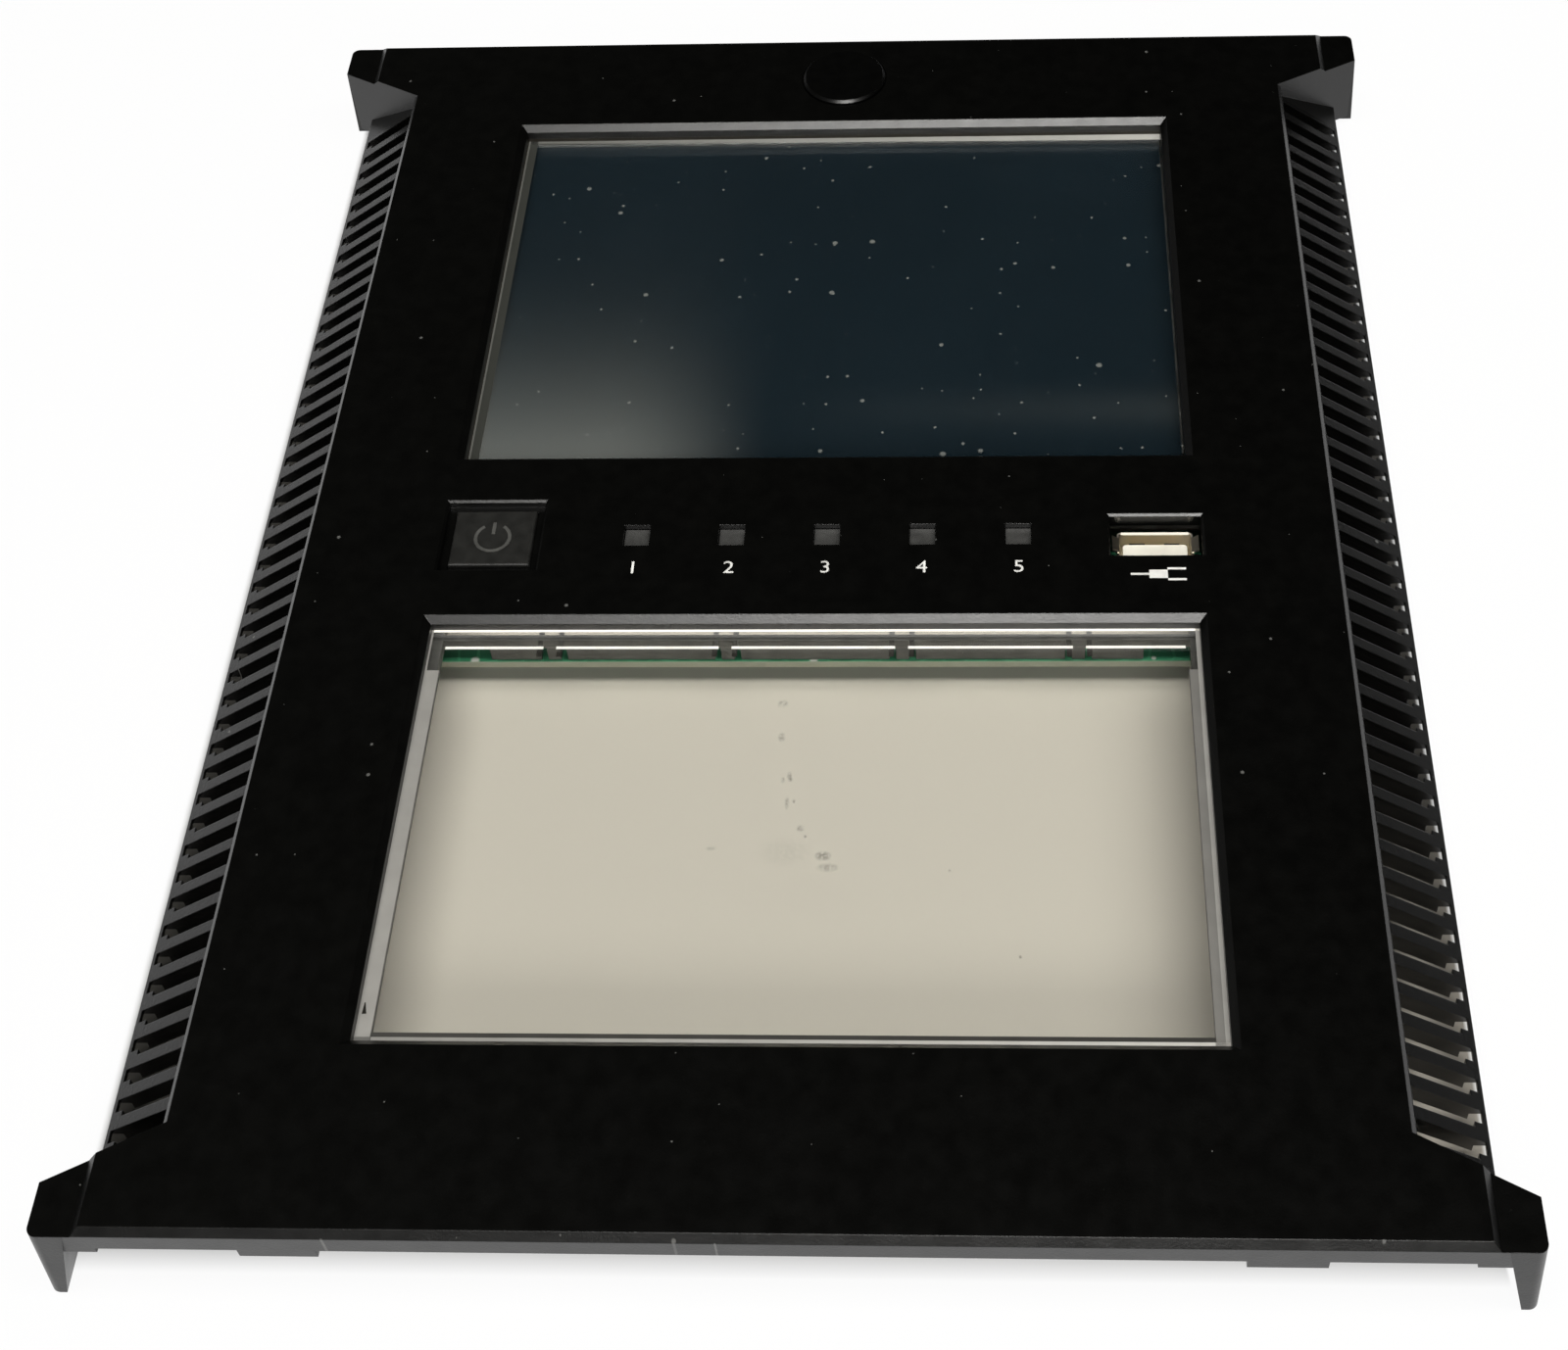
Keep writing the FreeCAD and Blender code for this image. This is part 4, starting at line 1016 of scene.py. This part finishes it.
@dataclass
class Window(SubAssembly):
    """Viewing window: thick pane, its frame, the painted highlights and shade along the pane, and the scuffs
    on it.

    Attributes:
        lap: How far the pane reaches behind the bezel at its sides and bottom.
        top_lap: How far it does at the top.
        edges: Widths of the painted highlights along the top, bottom, left and right borders.
        edge_tones: Their tones at both ends.
        foot: Distance of the bottom edge from the border of the opening.
        sill: Width of the painted shadow line above the bottom border.
        sill_tone: Its tone at both ends.
        bands: Widths of the dim strips of painted shade beside the left and right borders.
        band_top: How far the bands end under the top of the opening.
        band_line: Width of the painted shade line along the inner side of each strip.
        band_tones: Tones of the two shade strips and of their two lines, at both ends.
        rear_edge: Width of the painted highlight on the rear edge seen through the pane.
        rear_set: Distance of that highlight from the top of the pane.
        rear_ends: X of the rear edge's two ends.
        rear_tone: Its tone at both ends.
        fingers: Number of the frame's fingers, which stand in front of the rear edge.
        finger_pitch: Their spacing.
        finger_width: Their width.
        slot_set: Distance of the dark slots of painted shade beside a finger from its middle.
        slot_width: Their width.
        slot_reach: Half their length.
        chip: Ends and widths of the dark chip at the left edge, in millimetres.
        mark_rings: Radii of a scuff's grid, as shares of its size.
        mark_turns: Number of points round a scuff.
        marks: Middle and half size of each scuff on the pane, in millimetres, and its strength.
    """

    lap: float = 0.0012
    top_lap: float = 0.0001
    edges: tuple[float, float, float, float] = (0.00045, 0.0006, 0.0003, 0.0007)
    edge_tones: tuple[Pair, ...] = ((0.9, 1.0), (0.22, 0.48), (0.22, 0.22), (0.26, 0.26))
    foot: float = 0.0008
    sill: float = 0.00075
    sill_tone: Pair = (0.03, 0.02)
    bands: Pair = (0.0021, 0.0014)
    band_top: float = 0.0085
    band_line: float = 0.00014
    band_tones: tuple[Pair, ...] = ((0.24, 0.22), (0.14, 0.12), (0.07, 0.06), (0.05, 0.04))
    rear_edge: float = 0.00055
    rear_set: float = 0.00185
    rear_ends: Pair = (-0.063, 0.0628)
    rear_tone: Pair = (0.8, 0.8)
    fingers: int = 4
    finger_pitch: float = 0.03
    finger_width: float = 0.0022
    slot_set: float = 0.0017
    slot_width: float = 0.0009
    slot_reach: float = 0.0019
    chip: tuple[tuple[float, float, float], ...] = ((-64.35, -94.2, 0.15), (-64.2, -96.1, 0.7))
    mark_rings: tuple[float, ...] = (0.05, 0.24, 0.43, 0.62, 0.81, 1.0)
    mark_turns: int = 24
    marks: tuple[tuple[float, float, float, float, float], ...] = (
        (-4.2, -39.0, 1.0, 0.9, 0.4),
        (-4.05, -45.6, 0.7, 1.0, 0.4),
        (-2.35, -53.3, 0.45, 1.1, 0.45),
        (-2.15, -53.9, 0.35, 0.45, 0.6),
        (-3.4, -54.0, 0.4, 0.7, 0.3),
        (-2.5, -58.4, 0.4, 1.3, 0.4),
        (-1.4, -58.0, 0.3, 0.45, 0.45),
        (-0.1, -63.1, 0.8, 0.7, 0.4),
        (0.72, -64.6, 0.3, 0.35, 0.7),
        (3.75, -68.2, 1.5, 1.0, 0.5),
        (4.5, -70.3, 1.9, 0.9, 0.35),
        (-2.5, -67.5, 5.0, 3.0, 0.07),
        (34.4, -85.9, 0.3, 0.35, 0.6),
        (23.6, -70.8, 0.3, 0.35, 0.4),
        (-14.1, -66.9, 1.2, 0.5, 0.15),
    )

    def dress(self) -> None:
        """Finish the pane and its frame."""
        dress(ClearFinish("pane_clear", (0.97, 0.985, 0.97), 0.03, 1.49), "window_pane")
        grey = MouldedFinish("retainer_plastic", (0.085, 0.084, 0.077), Texture.FRAME, 0.5, specular=0.4)
        dress(grey, "window_retainer")

    def build(self) -> None:
        """Lay the painted highlights and shade along the pane's borders, and the scuffs on the pane."""
        self._edges()
        self._scuffs()

    def _edges(self) -> None:
        """Painted highlights along the pane's borders and, in stretches between the fingers, on its rear
        edge; painted shade in a line above the bottom border, in side strips and in slots beside the fingers;
        and the chip.
        """
        low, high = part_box("window_pane")
        left, right = low.x + self.lap, high.x - self.lap
        bottom, top = low.y + self.lap, high.y - self.top_lap
        foot = bottom + self.foot
        over, under, near, far = self.edges
        borders = (
            level_line(top - over / 2, left, right),
            level_line(foot + under / 2, left, right),
            upright(left + near / 2, bottom, top),
            upright(right - far / 2, bottom, top),
        )
        trim = Trim()
        # Painted highlights along the top, bottom, left and right borders.
        for path, width, tone in zip(borders, self.edges, self.edge_tones):
            trim.line(path, width, high.z, tone)
        first, last = left + near + self.bands[0], right - far - self.bands[1]
        # Painted shadow line above the bottom border.
        trim.line(level_line(foot + under + self.sill / 2, first, last), self.sill, high.z, self.sill_tone)
        # Dim strips of painted shade beside the side borders, each with a painted shade line on its inner
        # side.
        bands = (
            (first - self.bands[0] / 2, self.bands[0]),
            (last + self.bands[1] / 2, self.bands[1]),
            (first + self.band_line / 2, self.band_line),
            (last - self.band_line / 2, self.band_line),
        )
        for (x, width), tone in zip(bands, self.band_tones):
            trim.line(upright(x, bottom, top - self.band_top), width, high.z, tone)
        # Painted highlight on the rear edge, in stretches between the fingers.
        fingers = self.finger_pitch * (np.arange(self.fingers) - (self.fingers - 1) / 2)
        half = self.finger_width / 2
        ends = np.sort(np.concatenate([fingers - half, fingers + half, self.rear_ends]))
        y = high.y - self.rear_set - self.rear_edge / 2
        behind = low.z - EDGE_THICKNESS
        for start, stop in ends.reshape(-1, 2):
            trim.line(level_line(y, start, stop), self.rear_edge, behind, self.rear_tone)
        # Dark slots of painted shade beside each finger.
        for x in np.concatenate([fingers - self.slot_set, fingers + self.slot_set]):
            slot = upright(x, y - self.slot_reach, y + self.slot_reach)
            trim.line(slot, self.slot_width, low.z - 2 * EDGE_THICKNESS, DARK)
        chip = np.array(self.chip) * MILLIMETRE
        trim.line(chip[:, :2], chip[:, 2], high.z, DARK, layers=2)
        trim.lay("pane_painted_edges", EdgeFinish("pane_painted_edge", (0.012, 0.011, 0.009), (0.93, 0.905, 0.84), 0.5))

    def _scuffs(self) -> None:
        """Lay the scuffs on the pane.

        Each is an ellipse on a polar grid. Its tone falls from its strength in the middle to 0 at the rim, by
        the square of the radius.
        """
        film = FilmFinish("pane_scuffs", Pattern.SCUFFS, (0.09, 0.085, 0.075)).build()
        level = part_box("window_pane")[1].z + FILM_LIFT
        turns = np.linspace(0, 2 * np.pi, self.mark_turns, endpoint=False)
        radius, turn = np.meshgrid(self.mark_rings, turns, indexing="ij")
        faces = grid_faces(*radius.shape, around=True)
        parts = []
        for x, y, wide, high, _ in self.marks:
            across = (x + wide * radius * np.cos(turn)) * MILLIMETRE
            along = (y + high * radius * np.sin(turn)) * MILLIMETRE
            points = np.stack([across, along, np.full_like(across, level)], axis=-1).reshape(-1, 3)
            parts.append((points, faces))
        piece = new_piece("pane_scuffs", *merged(parts), film, Body.BEZEL)
        set_tone(piece, np.outer([mark[-1] for mark in self.marks], 1 - radius.ravel() ** 2).ravel())


@dataclass
class Controls(SubAssembly):
    """Board with its connectors, lamps and light pipes."""

    def dress(self) -> None:
        """Finish the board and what it carries."""
        dress(BoardFinish(), "control_board")
        nylon = MouldedFinish("connector_plastic", (0.02, 0.02, 0.02), Texture.FINE, 0.45, specular=0.45)
        dress(nylon, "host_connector", "display_connector")
        numbers = range(1, LAMPS + 1)
        lens = MouldedFinish("lens_plastic", (0.052, 0.052, 0.05), Texture.SMOOTH, 0.3)
        dress(lens, *(f"status_lens_{number}" for number in numbers))
        resin = MouldedFinish("led_plastic", (0.7, 0.7, 0.6), Texture.RESIN, 0.25)
        dress(resin, *(f"status_led_{number}" for number in numbers))


@dataclass
class ServicePort(SubAssembly):
    """Metal port with its tongue and contacts.

    Attributes:
        rim: Width of the painted highlight along the shell's rim.
        rim_inset: How far the highlight's ends are from the shell's sides.
        rim_over: How far the highlight stands past the shell's upper side.
        sink: How far the tongue lies under the shell's mouth.
        mouth: Level of the shell's mouth under the top of its flared lips.
        tongue: Half the width of the tongue's head, and its lower and upper side, from the shell's middle.
        corner: Radius of the head's two upper corners.
        head_points: Number of points along the head.
        slots: Ends of the two dark slots over the head, from the middle of the shell.
        slot_width: Their width.
        ground: Half the size of the dark sheet of painted shade on the board around the port.
    """

    rim: float = 0.0006
    rim_inset: float = 0.0016
    rim_over: float = 0.00005
    sink: float = 0.001
    mouth: float = 0.0009
    tongue: tuple[float, float, float] = (0.00555, -0.00185, 0.0009)
    corner: float = 0.0006
    head_points: int = 41
    slots: tuple[Pair, Pair] = ((-0.0045, -0.0017), (0.0016, 0.0043))
    slot_width: float = 0.0003
    ground: Pair = (0.0091, 0.0056)

    def dress(self) -> None:
        """Finish the port."""
        dress(MetalFinish("port_metal", (0.86, 0.8, 0.68), 0.34, 0.02), "port_shell")
        tongue = MouldedFinish("insulator_plastic", (0.9, 0.87, 0.75), Texture.FINE, 0.45, specular=0.45)
        dress(tongue, "port_insulator")
        dress(MetalFinish("contact_metal", (0.85, 0.62, 0.25), 0.25, 0.001), "port_contacts")

    def build(self) -> None:
        """Lay the painted highlight along the shell's rim, the head of the tongue with the slots over it, and
        a dark sheet of painted shade on the board around the port.

        The head's height falls at its ends by the fall of a quarter circle, so its upper corners are round.
        """
        low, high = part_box("port_shell")
        middle = middle_of("port_shell")
        level = high.z - self.mouth
        half, bottom, top = self.tongue
        across = half * np.sin(np.linspace(-np.pi / 2, np.pi / 2, self.head_points))
        past = np.clip(np.abs(across) - (half - self.corner), 0, self.corner)
        upper = top - self.corner + np.sqrt(self.corner ** 2 - past ** 2)
        head = np.stack([across, upper], axis=1) + middle
        base = np.stack([across, np.full_like(across, bottom)], axis=1) + middle
        trim = Trim()
        trim.add(ribbon(base, head, level - self.sink, EDGE_THICKNESS), PALE)
        # Painted highlight: a pale strip along the shell's upper rim.
        rim_highlight_y = high.y - self.rim / 2 + self.rim_over
        trim.line(level_line(rim_highlight_y, low.x + self.rim_inset, high.x - self.rim_inset), self.rim, level, PALE)
        for ends in self.slots:
            slot = middle + level_line(top + self.slot_width / 2, *ends)
            trim.line(slot, self.slot_width, level - self.sink, DARK)
        trim.lay("port_head_and_rim_highlight", EdgeFinish("port_cream", (0.006, 0.005, 0.004), (0.97, 0.94, 0.82)))
        # Painted shade: a dark sheet on the board around the port.
        black = MouldedFinish("port_painted_shade", (0.003, 0.003, 0.003), Texture.SMOOTH, 0.6, specular=0.2).build()
        wide, deep = self.ground
        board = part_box("control_board")[1].z
        ground = stroke(middle + level_line(0, -wide, wide), 2 * deep, board, EDGE_THICKNESS)
        new_piece("port_painted_shade", *ground, black, Body.BEZEL)


@dataclass
class Fasteners(SubAssembly):
    """Screws of the bracket and the board."""

    def dress(self) -> None:
        """Finish the screws."""
        dress(MetalFinish("screw_steel", (0.5, 0.5, 0.48), 0.3, 0.001), "bracket_screws", "board_screws")


@dataclass(frozen=True)
class Lamp:
    """Soft box of the studio.

    Attributes:
        name: Name of the lamp.
        place: Where it stands.
        target: What it points at.
        size: Its width and height.
        radiance: Brightness of its surface.
        diffuse: Whether it lights matt surfaces.
        glossy: Whether it shows as a glint.
        colour: Tint of its light.
    """

    name: str
    place: Place
    target: Place
    size: Pair
    radiance: float
    diffuse: bool = True
    glossy: bool = True
    colour: Colour = (1.0, 0.985, 0.955)

    def build(self) -> None:
        """Make the lamp; its power is radiance times area times pi."""
        light = bpy.data.lights.new(self.name, "AREA")
        light.shape = "RECTANGLE"
        light.size, light.size_y = self.size
        light.energy = self.radiance * self.size[0] * self.size[1] * math.pi
        light.color = self.colour
        item = bpy.data.objects.new(self.name, light)
        item.location = self.place
        item.rotation_euler = (Vector(self.target) - Vector(self.place)).to_track_quat("-Z", "Y").to_euler()
        item.visible_camera = False
        item.visible_transmission = False
        item.visible_diffuse = self.diffuse
        item.visible_glossy = self.glossy
        bpy.context.scene.collection.objects.link(item)


@dataclass
class Studio:
    """Pale floor, soft light and the camera of the photograph.

    Attributes:
        frame_width: Width of the photograph, in pixels.
        frame_height: Its height.
        focus: Focal length, in pixels.
        middle: Point where the camera's axis meets the photograph.
        camera: Place of the camera.
        right: Camera's right direction.
        back: Direction from the object towards the camera.
        sensor: Width of the camera's sensor, in millimetres.
        near_limit: Distance from the camera at which things start to show.
        floor_half: Half the size of the floor.
        floor_level: Level of the floor.
        floor_colour: Colour of the floor.
        under_colour: Colour of the floor under the object.
        shade_colour: Colour of the shaded floor under the louvres.
        shade_sides: Distance from the middle where the shaded floor starts, and where it is full.
        shade_rise: Y where the shade on the right starts, and where it is full.
        shade_share: How much of the shade on the right shows there.
        floor_white: How white the floor is to the eye, from 0 to 1.
        under_left: X where the floor is white, and where it has the under colour, on the left.
        under_right: X where the floor starts to turn white, and where it is white, on the right.
        under_ends: The same along Y, at both ends.
        horizon_rise: Height in the surround where the horizon's light starts to fade, and where it ends.
        left_reach: Place across the surround where the left side's light starts, and where it is full.
        right_share: How much of that light the right side has.
        sky_right: Colour of the surround above, on the right.
        sky_left: The same on the left.
        horizon: Colour of the surround near the horizon.
        lamps: Soft boxes.
    """

    frame_width: float = 1600.0
    frame_height: float = 1378.0
    focus: float = 2365.0
    middle: Pair = (900.0, 520.0)
    camera: Place = (0.03084, -0.26200, 0.32613)
    right: Place = (0.99881, 0.02803, -0.03991)
    back: Place = (0.04856, -0.64812, 0.75999)
    sensor: float = 36.0
    near_limit: float = 0.01
    floor_half: float = 6.0
    floor_level: float = -0.0001
    floor_colour: Colour = (0.86, 0.86, 0.85)
    under_colour: Colour = (0.565, 0.528, 0.46)
    shade_colour: Colour = (0.045, 0.043, 0.039)
    shade_sides: Pair = (0.072, 0.078)
    shade_rise: Pair = (-0.112, -0.045)
    shade_share: Pair = (0.25, 1.0)
    floor_white: float = 0.95
    under_left: Pair = (-0.1062, -0.1045)
    under_right: Pair = (0.1025, 0.1038)
    under_ends: Pair = (0.122, 0.130)
    horizon_rise: Pair = (0.05, 0.32)
    left_reach: Pair = (0.1, -0.6)
    right_share: float = 0.08
    sky_right: Colour = (0.002, 0.002, 0.002)
    sky_left: Colour = (0.03, 0.0306, 0.0276)
    horizon: Colour = (0.16, 0.16, 0.16)
    lamps: tuple[Lamp, ...] = (
        Lamp("overhead_softbox", (0.5, -0.12, 1.3), (0.5, -0.12, 0), (2.2, 0.35), 9.7, glossy=False),
        Lamp("front_softbox", (0.1, -1.0, 0.75), (0, -0.05, 0), (0.8, 0.3), 6.5, glossy=False),
        Lamp("glint_softbox", (0.095, -0.88, 0.951), (0, 0, 0), (0.6, 0.42), 23.0, diffuse=False),
    )

    def build(self) -> None:
        """Set up the floor, the world, the lamps and the camera."""
        self._floor()
        self._world()
        for lamp in self.lamps:
            lamp.build()
        self._camera()
        bpy.context.scene.view_settings.view_transform = "Standard"

    def _floor(self) -> None:
        """Pale floor that keeps the object's shadow, white to the eye around the object."""
        columns, rows = np.meshgrid([-self.floor_half, self.floor_half], [-self.floor_half, self.floor_half])
        points = np.stack([columns, rows, np.full_like(columns, self.floor_level)], axis=-1).reshape(-1, 3)
        mesh = bpy.data.meshes.new("floor")
        mesh.from_pydata(points.tolist(), [], grid_faces(2, 2).tolist())
        material, graph, shader = new_material("floor")
        axes = graph.axes(graph.place())
        left = graph.spread(axes["X"], self.under_left, (1.0, 0.0))
        right = graph.spread(axes["X"], self.under_right, UNIT)
        ends = graph.spread(graph.math("ABSOLUTE", axes["Y"]), self.under_ends, UNIT)
        clear = graph.math("MAXIMUM", left, right, ends)
        near, far = self.shade_sides
        shade_left = graph.spread(axes["X"], (-near, -far), UNIT)
        shade_right = graph.spread(axes["X"], (near, far), UNIT)
        deepening = graph.spread(axes["Y"], self.shade_rise, self.shade_share)
        shade = graph.math("MAXIMUM", shade_left, graph.math("MULTIPLY", shade_right, deepening))
        under = graph.blend(shade, self.under_colour, self.shade_colour)
        colour = graph.blend(clear, under, self.floor_colour)
        graph.fill(shader, {"Base Color": colour, "Roughness": 0.9, "Specular IOR Level": 0.1})
        rays = graph.node("LightPath").outputs
        seen = ("Is Camera Ray", "Is Glossy Ray", "Is Transmission Ray")
        share = graph.math("MULTIPLY", graph.math("MAXIMUM", *(rays[name] for name in seen)), clear)
        share = graph.math("MULTIPLY", share, self.floor_white)
        glow = graph.fill(graph.node("Emission"), {"Color": (1.0, 1.0, 1.0)})
        white = graph.node("MixShader")
        graph.fill(white, {0: share, 1: shader.outputs[0], 2: glow.outputs[0]})
        behind = graph.node("NewGeometry").outputs["Backfacing"]
        below = graph.node("MixShader")
        graph.fill(below, {0: behind, 1: white.outputs[0], 2: graph.node("BsdfTransparent").outputs[0]})
        graph.feed(material.node_tree.nodes["Material Output"].inputs["Surface"], below.outputs[0])
        mesh.materials.append(material)
        floor = bpy.data.objects.new("floor", mesh)
        bpy.context.scene.collection.objects.link(floor)

    def _world(self) -> None:
        """Studio surround: pale near the horizon on the left, dim above it and dark on the right."""
        world = bpy.data.worlds.new("studio")
        world.use_nodes = True
        graph = Graph(world.node_tree)
        axes = graph.axes(graph.node("TexCoord").outputs["Generated"])
        low = graph.spread(axes["Z"], self.horizon_rise, (1.0, 0.0))
        left = graph.spread(axes["X"], self.left_reach, (self.right_share, 1.0))
        above = graph.blend(left, self.sky_right, self.sky_left)
        colour = graph.blend(graph.math("MULTIPLY", low, left), above, self.horizon)
        graph.feed(world.node_tree.nodes["Background"].inputs["Color"], colour)
        bpy.context.scene.world = world

    def _camera(self) -> None:
        """Camera of the photograph: its lens follows from the focus in pixels, its shift from its axis."""
        data = bpy.data.cameras.new("photo_camera")
        data.sensor_fit = "HORIZONTAL"
        data.sensor_width = self.sensor
        data.lens = self.sensor * self.focus / self.frame_width
        data.shift_x = (self.frame_width / 2 - self.middle[0]) / self.frame_width
        data.shift_y = (self.middle[1] - self.frame_height / 2) / self.frame_width
        data.clip_start = self.near_limit
        item = bpy.data.objects.new("photo_camera", data)
        back = Vector(self.back).normalized()
        right = Vector(self.right).normalized()
        turn = Matrix((right, back.cross(right), back)).transposed().to_4x4()
        item.matrix_world = Matrix.Translation(self.camera) @ turn
        bpy.context.scene.collection.objects.link(item)
        bpy.context.scene.camera = item


def main() -> None:
    """Build and dress each sub-assembly in order, then set up the studio."""
    logging.basicConfig(level=logging.INFO, format="%(name)s: %(message)s")
    for part in (Moulding(), PowerButton(), Display(), Window(), Controls(), ServicePort(), Fasteners()):
        part.dress()
        part.build()
        log.info("%s dressed", type(part).__name__)
    Studio().build()


if __name__ == "__main__":
    main()
